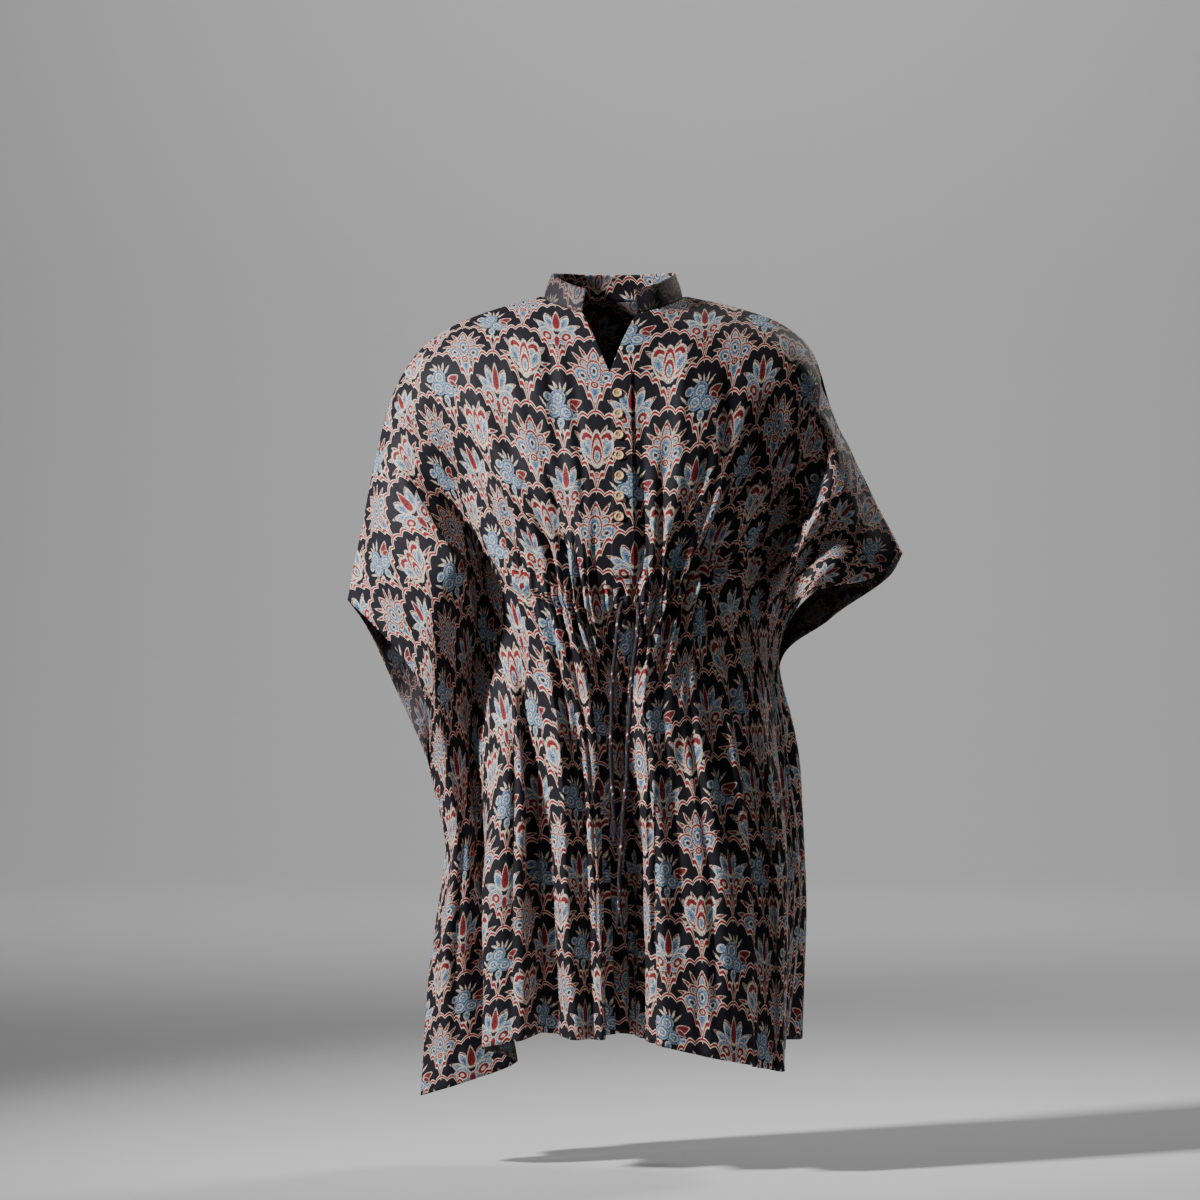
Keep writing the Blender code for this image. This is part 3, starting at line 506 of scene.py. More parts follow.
    def relief(self, u: Array, w: Array) -> Array:
        """Puckers along the casing, its two stitched lines, hems and small unevenness."""
        low, high = GATHER.spans[self.side]
        inside = eased((u - low) / 60 + 0.5) * eased((high - u) / 60 + 0.5)
        off = w - CUT.casing_w
        flat = 0.0
        if self.side is Side.FRONT:
            across = eased(2 - np.abs(u - GATHER.placket_middle) / GATHER.placket_flat)
            flat = across * eased((CUT.casing_w - 14 - w) / 8)
        pucker = (
            np.sin(2 * math.pi * u / 11.3 + 1.9 * np.sin(u / 19.0) + 0.02 * off)
            + 0.7 * np.sin(2 * math.pi * u / 7.4 + 1.3 * np.sin(u / 31.0 + 1) - 0.03 * off)
        )
        size = 2.6 * np.exp(-((off / 26.0) ** 2)) + 0.7 * np.exp(-((off / 80.0) ** 2))
        height = size * inside * pucker * (1 - flat)
        lines = np.exp(-(((np.abs(off) - CUT.casing_half) / 2.4) ** 2))
        channel = np.exp(-((off / 8.5) ** 2))
        height += (2.8 * channel - 3.6 * lines) * inside * (1 - flat)
        hem = CUT.length - w
        height -= 0.7 * np.exp(-(((hem - 15) / 2.2) ** 2)) * (0.8 + 0.3 * np.sin(u / 6.0))
        drift = np.sin(u / 37 + 0.011 * w) * np.sin(w / 61 + 0.9 * np.sin(u / 83))
        drift += 0.6 * np.sin(u / 19 - 0.016 * w + 1.2) * np.sin(w / 43 + u / 151 + 0.4)
        calm = eased(w / 60) * eased((CUT.half_width - np.abs(u)) / 40)
        return height + 0.9 * drift * calm

    def points(self, u: Array, w: Array, fine: bool = True) -> Array:
        """The middle of the cloth, in metres.

        Args:
            u: a grid of places across the cut, in mm.
            w: the grid's places down the cut, in mm.
            fine: whether to add the small creases and puckers.

        Returns:
            A grid of points.
        """
        base = self.base(u, w)
        out = self.normals(base)
        height = self.gathers(u, w) + self.creases(u, w, self.large)
        if fine:
            height = height + self.creases(u, w, self.small) + self.relief(u, w)
        points = (base + out * (height + CUT.wall / 2)[..., None]) * MM
        points[..., 1] += (-0.5 if self.side is Side.FRONT else 0.5) * CUT.seam_gap * MM
        return points


def smooth_object(name: str, mesh: bpy.types.Mesh, *materials: bpy.types.Material):
    """A smooth shaded object from a mesh, linked to the scene."""
    obj = bpy.data.objects.new(name, mesh)
    bpy.context.scene.collection.objects.link(obj)
    for material in materials:
        mesh.materials.append(material)
    mesh.shade_smooth()
    return obj


def grid_object(name: str, points: Array, uv: Array, flip: bool, *materials):
    """A quad grid with the cut's places, in metres, as its UV map.

    Args:
        name: the object's name.
        points: a grid of points, columns first.
        uv: the grid's (u, w) on the cut, in mm.
        flip: whether to turn the faces round.
        materials: its materials.

    Returns:
        The object.
    """
    nu, nv = points.shape[:2]
    index = np.arange(nu * nv).reshape(nu, nv)
    corner = (index[:-1, :-1], index[:-1, 1:], index[1:, 1:], index[1:, :-1])
    quads = np.stack(corner, axis=-1).reshape(-1, 4)
    if flip:
        quads = quads[:, ::-1]
    mesh = bpy.data.meshes.new(name)
    mesh.vertices.add(nu * nv)
    mesh.vertices.foreach_set("co", points.reshape(-1).astype(np.float32))
    mesh.loops.add(quads.size)
    mesh.loops.foreach_set("vertex_index", quads.reshape(-1).astype(np.int32))
    mesh.polygons.add(len(quads))
    mesh.polygons.foreach_set("loop_start", np.arange(0, quads.size, 4, dtype=np.int32))
    layer = mesh.uv_layers.new(name="cut")
    flat = np.stack([uv[..., 0], -uv[..., 1]], axis=-1).reshape(-1, 2) * MM
    layer.data.foreach_set("uv", flat[quads.reshape(-1)].reshape(-1).astype(np.float32))
    mesh.update(calc_edges=True)
    return smooth_object(name, mesh, *materials)


def thicken(obj, thickness: float, inside_slot: int = 0, offset: float = 0.0):
    """Gives a sheet its thickness, in mm, and its inside its own material."""
    solid = obj.modifiers.new("thickness", "SOLIDIFY")
    solid.thickness = thickness * MM
    solid.offset = offset
    solid.use_even_offset = False
    solid.material_offset = inside_slot
    return obj


class Signal:
    """A number in a material's node tree, with the usual operators."""

    def __init__(self, tree: bpy.types.NodeTree, socket) -> None:
        self.tree = tree
        self.socket = socket

    def join(self, kind: str, *others, clamp: bool = False) -> "Signal":
        """A math node of this kind, with this number first."""
        node = self.tree.nodes.new("ShaderNodeMath")
        node.operation = kind
        node.use_clamp = clamp
        for place, value in zip(node.inputs, (self, *others)):
            if isinstance(value, Signal):
                self.tree.links.new(value.socket, place)
            else:
                place.default_value = float(value)
        return Signal(self.tree, node.outputs[0])

    def __add__(self, other) -> "Signal":
        return self.join("ADD", other)

    def __sub__(self, other) -> "Signal":
        return self.join("SUBTRACT", other)

    def __mul__(self, other) -> "Signal":
        return self.join("MULTIPLY", other)

    def __truediv__(self, other) -> "Signal":
        return self.join("DIVIDE", other)

    def __pow__(self, other) -> "Signal":
        return self.join("POWER", other)

    def __abs__(self) -> "Signal":
        return self.join("ABSOLUTE")

    def plus(self, scale, shift) -> "Signal":
        """This number times scale, plus shift."""
        return self.join("MULTIPLY_ADD", scale, shift)

    def floor(self) -> "Signal":
        return self.join("FLOOR")

    def wrap(self, period: float) -> "Signal":
        """The remainder, from 0 to the period, for numbers below 0 too."""
        return self.join("WRAP", period, 0.0)

    def sine(self) -> "Signal":
        return self.join("SINE")

    def least(self, other) -> "Signal":
        return self.join("MINIMUM", other)

    def below(self, limit: float, soft: float) -> "Signal":
        """1 where this is under the limit and 0 over it, with a soft edge."""
        return self.join("MULTIPLY_ADD", -1 / soft, limit / soft + 0.5, clamp=True)


class Paint:
    """A colour in a material's node tree, painted over one layer at a time."""

    def __init__(self, tree: bpy.types.NodeTree, colour) -> None:
        self.tree = tree
        self.colour = colour

    def over(self, colour, mask: Signal) -> "Paint":
        """This paint with another colour or paint laid over it where the mask is 1."""
        node = self.tree.nodes.new("ShaderNodeMix")
        node.data_type = "RGBA"
        self.tree.links.new(mask.socket, node.inputs["Factor"])
        for name, value in (("A", self.colour), ("B", colour)):
            place = next(s for s in node.inputs if s.name == name and s.type == "RGBA")
            value = value.colour if isinstance(value, Paint) else value
            if isinstance(value, tuple):
                place.default_value = (*value, 1.0)
            else:
                self.tree.links.new(value, place)
        made = next(s for s in node.outputs if s.type == "RGBA")
        return Paint(self.tree, made)


class Dye:
    """The colours of the block print, linear."""

    GROUND = (0.006, 0.005, 0.010)
    CREAM = (0.70, 0.57, 0.46)
    RED = (0.230, 0.014, 0.020)
    PALE = (0.22, 0.30, 0.40)
    BLUE = (0.075, 0.145, 0.270)
    WHITE = (0.58, 0.57, 0.53)
    DARK = (0.030, 0.014, 0.020)


class Petal(NamedTuple):
    """One printed petal in a cell, in mm from the cell's middle.

    The angle is that of its long axis in degrees, and taper makes its far end narrower.
    Each ring is a share of the petal's size and the dye inside it, largest first.
    """

    x: float
    y: float
    angle: float
    half_length: float
    half_width: float
    taper: float
    rings: tuple[tuple[float, tuple[float, float, float]], ...]


RED_EDGED = ((1.0, Dye.CREAM), (0.84, Dye.RED), (0.55, Dye.CREAM), (0.42, Dye.PALE))
SPIKE = ((1.0, Dye.CREAM), (0.62, Dye.RED))
SEEDED = ((1.0, Dye.PALE), (0.80, Dye.BLUE), (0.52, Dye.WHITE), (0.26, Dye.DARK))
EDGED_SEED = (
    (1.0, Dye.CREAM), (0.92, Dye.RED), (0.76, Dye.CREAM), (0.68, Dye.PALE),
    (0.52, Dye.BLUE), (0.36, Dye.WHITE), (0.20, Dye.DARK),
)
RED_HEART = (
    (1.0, Dye.CREAM), (0.88, Dye.PALE), (0.60, Dye.CREAM), (0.50, Dye.RED), (0.22, Dye.CREAM),
)
PALE_PETAL = ((1.0, Dye.WHITE), (0.72, Dye.PALE), (0.34, Dye.BLUE))
ROSE = ((1.0, Dye.PALE), (0.80, Dye.BLUE), (0.62, Dye.WHITE), (0.46, Dye.PALE), (0.28, Dye.BLUE),
        (0.14, Dye.WHITE))
TWIG = ((1.0, Dye.CREAM),)
RED_BUD = ((1.0, Dye.CREAM), (0.82, Dye.RED), (0.30, Dye.DARK), (0.18, Dye.RED))
ROSETTE = ((1.0, Dye.CREAM), (0.80, Dye.RED), (0.42, Dye.CREAM), (0.24, Dye.RED))

# Motifs that are the same on the left and the right hold only their right half.
LOTUS = (
    Petal(12, 22, 62, 8, 2.2, 0.7, SPIKE), Petal(19, 15, 40, 7, 2.2, 0.7, SPIKE),
    Petal(24, 4, 14, 6, 2.2, 0.7, SPIKE), Petal(25, -7, 8, 5, 2.0, 0.7, SPIKE),
    Petal(0, 18, 90, 13, 7, 0.8, RED_EDGED), Petal(11, 8, 50, 7, 6, 0.0, RED_EDGED),
    Petal(13, -6, 35, 13, 10, -0.15, EDGED_SEED), Petal(0, 1, 90, 15, 9, -0.1, EDGED_SEED),
    Petal(0, -23, -90, 12, 6.5, 0.55, PALE_PETAL), Petal(0, -15, 0, 5.5, 5, 0.0, ROSETTE),
)
TULIPS = (
    Petal(10, 20, 62, 6, 3.4, 0.5, RED_BUD), Petal(20, 9, 28, 8, 3.2, 0.6, RED_EDGED),
    Petal(8, 11, 66, 13, 5, 0.2, PALE_PETAL), Petal(14, 3, 42, 12, 5, 0.2, PALE_PETAL),
    Petal(0, 14, 90, 16, 5, 0.7, RED_BUD), Petal(11, -8, 52, 13, 9, -0.25, RED_HEART),
    Petal(0, -16, -90, 9, 3.6, 0.5, RED_BUD), Petal(6, -22, 20, 1.7, 1.7, 0, ROSETTE),
    Petal(0, -29, 90, 4.5, 3.2, 0.0, ROSETTE), Petal(23, -6, -10, 6, 2.2, 0.6, SPIKE),
)
PALMETTE = (
    Petal(20, 16, 44, 8, 3.0, 0.6, RED_EDGED), Petal(25, 2, 12, 7, 2.2, 0.7, SPIKE),
    Petal(23, -8, -14, 6, 2.2, 0.7, SPIKE), Petal(9, 22, 66, 8, 2.6, 0.7, SPIKE),
    Petal(8, 4, 70, 21, 11, 0.25, RED_EDGED), Petal(12, 2, 62, 12, 4.5, 0.2, PALE_PETAL),
    Petal(0, 2, 90, 22, 8, 0.35, RED_EDGED), Petal(0, -4, 90, 13, 6.5, 0.1, RED_BUD),
    Petal(0, -6, 90, 7, 3.4, 0.0, PALE_PETAL), Petal(0, -29, 90, 5, 3.2, 0.0, ROSETTE),
)
BOUQUET = (
    Petal(-9, 22, 150, 5, 1.5, 0.5, TWIG), Petal(-5, 25, 118, 4.5, 1.3, 0.5, TWIG),
    Petal(1, 21, 96, 5, 0.9, 0.2, TWIG), Petal(6, 22, 70, 5, 1.3, 0.5, TWIG),
    Petal(11, 18, 46, 6, 1.2, 0.5, TWIG), Petal(-22, 4, 130, 6, 1.2, 0.4, TWIG),
    Petal(-16, 12, 20, 5.4, 4.8, 0.0, PALE_PETAL), Petal(17, 6, 24, 9, 5.2, 0.6, RED_BUD),
    Petal(15, 1, -30, 6, 3.0, 0.5, RED_BUD), Petal(18, -7, 10, 4.2, 3.4, 0.0, PALE_PETAL),
    Petal(25, -5, 20, 3.0, 1.2, 0.3, TWIG), Petal(-3, 10, 80, 9.5, 9.0, 0.0, ROSE),
    Petal(-9, -1, 150, 9.5, 8.2, 0.1, ROSE), Petal(6, -5, -30, 9.5, 7.6, 0.1, ROSE),
    Petal(-19, -5, 200, 6, 2.4, 0.5, SPIKE), Petal(-12, -14, 230, 4, 2.6, 0.2, TWIG),
    Petal(-1, -16, -90, 5.6, 4.0, 0.2, PALE_PETAL), Petal(-3, -26, 250, 5, 1.4, 0.4, TWIG),
    Petal(2, -27, -75, 5, 1.2, 0.4, TWIG),
)


@dataclass(frozen=True)
class Scale:
    """Sizes of the print's scalloped scales, in millimetres."""

    width: float = 84
    rise: float = 46
    bend: float = 2.5
    lobe: float = 5.5
    lobe_growth: float = 0.3
    red: float = 1.2
    cream: float = 2.3
    soft: float = 0.25
    shift_x: float = 21
    shift_y: float = 12


SCALE = Scale()


class BlockPrint:
    """The block print: rows of scalloped scales, each with one of four flower motifs."""

    SHRINK = 0.97

    def __init__(self, tree: bpy.types.NodeTree) -> None:
        self.tree = tree
        place = tree.nodes.new("ShaderNodeUVMap")
        place.uv_map = "cut"
        split = tree.nodes.new("ShaderNodeSeparateXYZ")
        tree.links.new(place.outputs["UV"], split.inputs[0])
        self.x = Signal(tree, split.outputs["X"]).plus(1000, SCALE.shift_x)
        self.y = Signal(tree, split.outputs["Y"]).plus(1000, SCALE.shift_y)

    def arch(self, x: Signal) -> tuple[Signal, Signal]:
        """The height of the scalloped arches over x, and their steepness."""
        half = SCALE.width / 2
        out = abs((x + half).wrap(SCALE.width) - half) / half
        drop = SCALE.rise - SCALE.lobe
        body = (out ** SCALE.bend).plus(-drop, drop)
        phase = out.plus(1.8 * math.pi, 1.7 * math.pi).join("MULTIPLY_ADD", out, math.pi / 2)
        lobes = abs(phase.sine()) * out.plus(SCALE.lobe * SCALE.lobe_growth, SCALE.lobe)
        steep = (out ** (SCALE.bend - 1)) * (drop * SCALE.bend / half)
        return body + lobes, steep

    def petal(self, x: Signal, y: Signal, paint: Paint, shape: Petal) -> Paint:
        """One petal laid over the paint, ring by ring."""
        turn = math.radians(shape.angle)
        c, s = math.cos(turn), math.sin(turn)
        a, b = shape.half_length, shape.half_width
        along = x.plus(c / a, -(shape.x * c + shape.y * s) / a)
        along = y.join("MULTIPLY_ADD", s / a, along)
        side = x.plus(-s / b, (shape.x * s - shape.y * c) / b)
        side = y.join("MULTIPLY_ADD", c / b, side)
        if shape.taper:
            side = side / along.plus(-0.75 * shape.taper, 1.0)
        span = along.join("MULTIPLY", along)
        size = side.join("MULTIPLY_ADD", side, span).join("SQRT")
        soft = 0.7 / min(a, b)
        for share, dye in shape.rings:
            paint = paint.over(dye, size.below(share, soft))
        return paint

    def motif(self, x: Signal, y: Signal, petals: Sequence[Petal], mirrored: bool) -> Paint:
        """A motif on its ground."""
        paint = Paint(self.tree, Dye.GROUND)
        x = (abs(x) if mirrored else x) * self.SHRINK
        y = y * self.SHRINK
        for shape in petals:
            paint = self.petal(x, y, paint, shape)
        return paint

    def flecks(self) -> Signal:
        """Small strokes in the motifs where the block leaves the ground bare."""
        tree = self.tree
        place = tree.nodes.new("ShaderNodeCombineXYZ")
        tree.links.new((self.x + self.y * 0.4).socket, place.inputs["X"])
        tree.links.new((self.y - self.x * 0.3).socket, place.inputs["Y"])
        noise = tree.nodes.new("ShaderNodeTexNoise")
        noise.inputs["Scale"].default_value = 0.62
        noise.inputs["Detail"].default_value = 1
        tree.links.new(place.outputs[0], noise.inputs["Vector"])
        return Signal(tree, noise.outputs["Fac"]).below(0.44, 0.10) * 0.85

    def draw(self) -> Paint:
        """The whole print."""
        width, rise = SCALE.width, SCALE.rise
        even, steep = self.arch(self.x)
        odd, steep_odd = self.arch(self.x + width / 2)
        odd = odd + rise
        over_even = (self.y - even).wrap(2 * rise)
        gap = odd - even
        in_even = (over_even - gap).below(0.0, 0.05)
        row = ((self.y - even) / (2 * rise)).floor()
        x_even = self.x.wrap(width) - width / 2
        x_odd = (self.x + width / 2).wrap(width) - width / 2
        low_even = self.y - row * (2 * rise)
        y_even = low_even - rise
        y_odd = low_even - 2 * rise
        col_even = (self.x / width).floor()
        col_odd = ((self.x + width / 2) / width).floor()
        pick_even = (col_even + row).wrap(2.0).below(0.5, 0.1)
        pick_odd = (col_odd + row).wrap(2.0).below(0.5, 0.1)
        first = self.motif(x_even, y_even - 0.5, TULIPS, True)
        second = self.motif(x_even, y_even - 0.5, BOUQUET, False)
        third = self.motif(x_odd, y_odd - 0.5, LOTUS, True)
        fourth = self.motif(x_odd, y_odd - 0.5, PALMETTE, True)
        cells = fourth.over(third, pick_odd).over(second.over(first, pick_even), in_even)
        flat_even = (steep * steep + 1).join("INVERSE_SQRT")
        flat_odd = (steep_odd * steep_odd + 1).join("INVERSE_SQRT")
        near_even = over_even.least(over_even.plus(-1, 2 * rise)) * flat_even
        past = (self.y - odd).wrap(2 * rise)
        near_odd = past.least(past.plus(-1, 2 * rise)) * flat_odd
        near = near_even.least(near_odd)
        cells = cells.over(Dye.GROUND, self.flecks())
        lined = cells.over(Dye.CREAM, near.below(SCALE.cream, SCALE.soft))
        return lined.over(Dye.RED, near.below(SCALE.red, SCALE.soft))


class Finishes:
    """The materials, each made once."""

    def __init__(self) -> None:
        self.face = self.cotton("printed_cotton", 1.0)
        self.inside = self.cotton("cotton_inside", 0.3)
        self.wood = self.turned_wood()
        self.thread = self.plain("dark_thread", (0.035, 0.028, 0.04), 0.7)
        self.light_thread = self.plain("pale_thread", (0.42, 0.30, 0.20), 0.7)
        self.cord = self.tie_cloth()
        self.floor = self.plain("floor", (0.68, 0.68, 0.68), 0.9)

    @staticmethod
    def start(name: str):
        """A new material, its tree and its shader."""
        material = bpy.data.materials.new(name)
        material.use_nodes = True
        return material, material.node_tree, material.node_tree.nodes["Principled BSDF"]

    def plain(self, name: str, colour, roughness: float) -> bpy.types.Material:
        material, _, shader = self.start(name)
        shader.inputs["Base Color"].default_value = (*colour, 1)
        shader.inputs["Roughness"].default_value = roughness
        return material

    @staticmethod
    def bump(tree, shader, scale: float, strength: float, distance: float) -> None:
        """A fine uneven surface, from noise on the object's own coordinates."""
        place = tree.nodes.new("ShaderNodeTexCoord")
        noise = tree.nodes.new("ShaderNodeTexNoise")
        noise.inputs["Scale"].default_value = scale
        noise.inputs["Detail"].default_value = 3
        bump = tree.nodes.new("ShaderNodeBump")
        bump.inputs["Strength"].default_value = strength
        bump.inputs["Distance"].default_value = distance
        tree.links.new(place.outputs["Object"], noise.inputs["Vector"])
        tree.links.new(noise.outputs["Fac"], bump.inputs["Height"])
        tree.links.new(bump.outputs["Normal"], shader.inputs["Normal"])

    def cotton(self, name: str, strength: float) -> bpy.types.Material:
        """Printed cotton. The print shows weakly on the wrong side."""
        material, tree, shader = self.start(name)
        print_paint = BlockPrint(tree).draw()
        if strength < 1:
            node = tree.nodes.new("ShaderNodeValue")
            node.outputs[0].default_value = strength
            mask = Signal(tree, node.outputs[0])
            print_paint = Paint(tree, (0.030, 0.024, 0.030)).over(print_paint, mask)
        tree.links.new(print_paint.colour, shader.inputs["Base Color"])
        shader.inputs["Roughness"].default_value = 0.72
        shader.inputs["Specular IOR Level"].default_value = 0.22
        shader.inputs["Sheen Weight"].default_value = 0.02
        shader.inputs["Sheen Roughness"].default_value = 0.5
        self.bump(tree, shader, 420, 0.18, 0.0006)
        return material

    def tie_cloth(self) -> bpy.types.Material:
        """The ties' narrow strips of the print: short runs of dark, red and cream."""
        material, tree, shader = self.start("tie_cotton")
        place = tree.nodes.new("ShaderNodeTexCoord")
        split = tree.nodes.new("ShaderNodeSeparateXYZ")
        tree.links.new(place.outputs["Object"], split.inputs[0])
        x = Signal(tree, split.outputs["X"])
        z = Signal(tree, split.outputs["Z"])
        run = (z * 230 + (x * 900)).sine() + (z * 97).sine() * 0.8
        bead = (z * 610 - (x * 700)).sine()
        paint = Paint(tree, Dye.GROUND)
        paint = paint.over((0.07, 0.010, 0.014), run.below(-0.5, 0.5))
        paint = paint.over(Dye.BLUE, (bead + run * 0.5).below(-1.3, 0.3))
        paint = paint.over(Dye.CREAM, (bead + run * 0.5).below(-1.62, 0.12))
        tree.links.new(paint.colour, shader.inputs["Base Color"])
        shader.inputs["Roughness"].default_value = 0.75
        return material

    def turned_wood(self) -> bpy.types.Material:
        material, tree, shader = self.start("button_wood")
        place = tree.nodes.new("ShaderNodeTexCoord")
        split = tree.nodes.new("ShaderNodeSeparateXYZ")
        tree.links.new(place.outputs["Object"], split.inputs[0])
        x = Signal(tree, split.outputs["X"])
        z = Signal(tree, split.outputs["Z"])
        grain = (x * 2600 + (z * 300).sine() * 1.5).sine()
        paint = Paint(tree, (0.72, 0.48, 0.25)).over((0.52, 0.31, 0.14), grain.below(-0.3, 0.9))
        tree.links.new(paint.colour, shader.inputs["Base Color"])
        shader.inputs["Roughness"].default_value = 0.42
        return material


class Stitching:
    """Rows of short thread stitches, gathered into one mesh."""

    LENGTH = 2.3
    GAP = 1.1
    RADIUS = 0.28

    def __init__(self) -> None:
        self.points: list[Array] = []
        self.faces: list[tuple[int, ...]] = []

    def row(self, line: Array, out: Array) -> None:
        """Sews along a line of points, in metres, that lies on cloth facing out."""
        length = np.concatenate([[0], np.cumsum(np.linalg.norm(np.diff(line, axis=0), axis=1))])
        step = (self.LENGTH + self.GAP) * MM
        starts = np.arange(0, length[-1] - step, step)
        for a in starts:
            ends = []
            for at in (a, a + self.LENGTH * MM):
                p = np.array([np.interp(at, length, line[:, k]) for k in range(3)])
                n = np.array([np.interp(at, length, out[:, k]) for k in range(3)])
                ends.append((p, n / np.linalg.norm(n)))
            self.stitch(*ends[0], *ends[1])

    def stitch(self, p: Array, n: Array, q: Array, m: Array) -> None:
        """One stitch from p to q: a four-sided thread, thicker at its middle."""
        run = (q - p) / max(np.linalg.norm(q - p), 1e-9)
        first = len(self.points)
        for share, size in ((0.0, 0.45), (0.5, 1.0), (1.0, 0.45)):
            centre = p + (q - p) * share
            up = n + (m - n) * share
            side = np.cross(up, run)
            radius = self.RADIUS * size * MM
            for c, s in ((1, 0), (0, 1), (-1, 0), (0, -0.4)):
                self.points.append(centre + (side * c + up * s) * radius)
        for ring in (0, 4):
            for k in range(4):
                a, b = first + ring + k, first + ring + (k + 1) % 4
                self.faces.append((a, b, b + 4, a + 4))
        self.faces.append((first + 3, first + 2, first + 1, first))
        self.faces.append((first + 8, first + 9, first + 10, first + 11))

    def build(self, name: str, material) -> bpy.types.Object:
        mesh = bpy.data.meshes.new(name)
        mesh.from_pydata([tuple(map(float, p)) for p in self.points], [], self.faces)
        return smooth_object(name, mesh, material)


class Garment:
    """Every shown piece of the kaftan."""

    STEP = {Side.FRONT: 5.6, Side.BACK: 4.6}
    ROWS = {Side.FRONT: 150, Side.BACK: 130}
    DENSE_SPAN = (-250, 310)
    DENSE_STEP = 2.7
    BACK_PRINT_SHIFT = 630
    PLACKET_U = (-3, 21)
    PLACKET_W = (103, 344)
    CASING_ENDS = {Side.FRONT: (-330, 380), Side.BACK: (-400, 400)}

    def __init__(self, finishes: Finishes) -> None:
        self.finishes = finishes
        self.drapes = {side: Drape(side) for side in Side}
        self.dark = Stitching()

    def cut_grid(self, side: Side) -> tuple[Array, Array]:
        """The panel's places on its cut, with columns at the slit's corners."""
        corners = [-CUT.half_width, CUT.half_width]
        if side is Side.FRONT:
            corners += [CUT.slit_u - CUT.slit_half, CUT.slit_u, CUT.slit_u + CUT.slit_half]
            corners += self.DENSE_SPAN
        corners = sorted(corners)
        runs = []
        for a, b in zip(corners[:-1], corners[1:]):
            low, high = self.DENSE_SPAN
            dense = side is Side.FRONT and low <= a and b <= high
            step = self.DENSE_STEP if dense else self.STEP[side]
            steps = max(4, round((b - a) / step))
            runs.extend(np.linspace(a, b, steps + 1)[:-1])
        across = np.array([*runs, CUT.half_width])
        known, at = [0, 0.18, 0.32, 0.55, 1], [0, 0.12, 0.27, 0.52, 1]
        shares = np.interp(np.linspace(0, 1, self.ROWS[side] + 1), known, at)
        u = np.repeat(across[:, None], len(shares), axis=1)
        start = self.drapes[side].top_w(u)
        return u, start + (CUT.length - start) * shares[None, :]

    def on_cut(self, side: Side, u: Array, w: Array) -> tuple[Array, Array]:
        """Points on the cloth's outer face along a row of places, and their normals."""
        drape = self.drapes[side]
        spread = np.array([-1.5, 0.0, 1.5])
        if np.ptp(u) > 0:
            patch = drape.points(np.repeat(u[:, None], 3, axis=1), w[:, None] + spread)
            line, out = patch[:, 1], drape.normals(patch)[:, 1]
        else:
            patch = drape.points(u[0] + np.repeat(spread[:, None], len(w), axis=1),
                                 np.repeat(w[None], 3, axis=0))
            line, out = patch[1], drape.normals(patch)[1]
        return line + out * CUT.cloth / 2 * MM, out

    def panel(self, side: Side) -> bpy.types.Object:
        """A front or back panel with its half sleeves, hems and casing."""
        u, w = self.cut_grid(side)
        drape = self.drapes[side]
        points = drape.points(u, w)
        name = f"{side.value}_cloth"
        uv = np.stack([u + (0 if side is Side.FRONT else self.BACK_PRINT_SHIFT), w], axis=-1)
        obj = grid_object(name, points, uv, side is Side.BACK,
                          self.finishes.face, self.finishes.inside)
        thicken(obj, CUT.cloth, inside_slot=1)
        self.sew_panel(side)
        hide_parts(f"{side.value}_panel")
        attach(obj, "root")
        return obj

    @staticmethod
    def cut_area(u: Array, w: Array) -> float:
        """The flat cut's area, in square metres."""
        tall = w[:, -1] - w[:, 0]
        return float((np.diff(u[:, 0]) * (tall[1:] + tall[:-1])).sum()) / 2 * MM * MM

    def sew_panel(self, side: Side) -> None:
        """The hem's, the cuffs' and the casing's stitches."""
        u = np.arange(-CUT.half_width + 6, CUT.half_width - 6, 1.2)
        self.dark.row(*self.on_cut(side, u, np.full_like(u, CUT.length - 15)))
        low, high = self.CASING_ENDS[side]
        u = np.arange(low, high, 1.2)
        for off in (-CUT.casing_half, CUT.casing_half):
            self.dark.row(*self.on_cut(side, u, np.full_like(u, CUT.casing_w + off)))
        for sign in (-1, 1):
            edge = CUT.shoulder_drop
            last = edge + (CUT.length - edge) * CUT.cuff_end
            w = np.arange(edge + 8, last, 1.2)
            self.dark.row(*self.on_cut(side, np.full_like(w, sign * (CUT.half_width - 12)), w))

    def placket(self) -> bpy.types.Object:
        """The button placket, on the front panel's own points, with its edge stitches."""
        low, high = self.PLACKET_U
        across = np.linspace(low, high, 15)
        down = np.linspace(*self.PLACKET_W, 120)
        u, w = np.meshgrid(across, down, indexing="ij")
        drape = self.drapes[Side.FRONT]
        points = drape.points(u, w)
        out = drape.normals(points)
        lift = (CUT.wall / 2 + CUT.seam_gap + 0.45) * MM
        edge = np.minimum(u - low, high - u)
        puff = 0.35 * (1 - np.exp(-((edge - 2.4) / 1.3) ** 2)) * MM
        points = points + out * (lift + puff)[..., None]
        uv = np.stack([u, w], axis=-1)
        obj = grid_object("placket_cloth", points, uv, False,
                          self.finishes.face, self.finishes.inside)
        thicken(obj, 0.9)
        normal = drape.normals(points)
        for column in (1, len(across) - 2):
            self.dark.row(points[column] + normal[column] * 0.5 * MM, normal[column])
        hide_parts("button_placket")
        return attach(obj, "root")

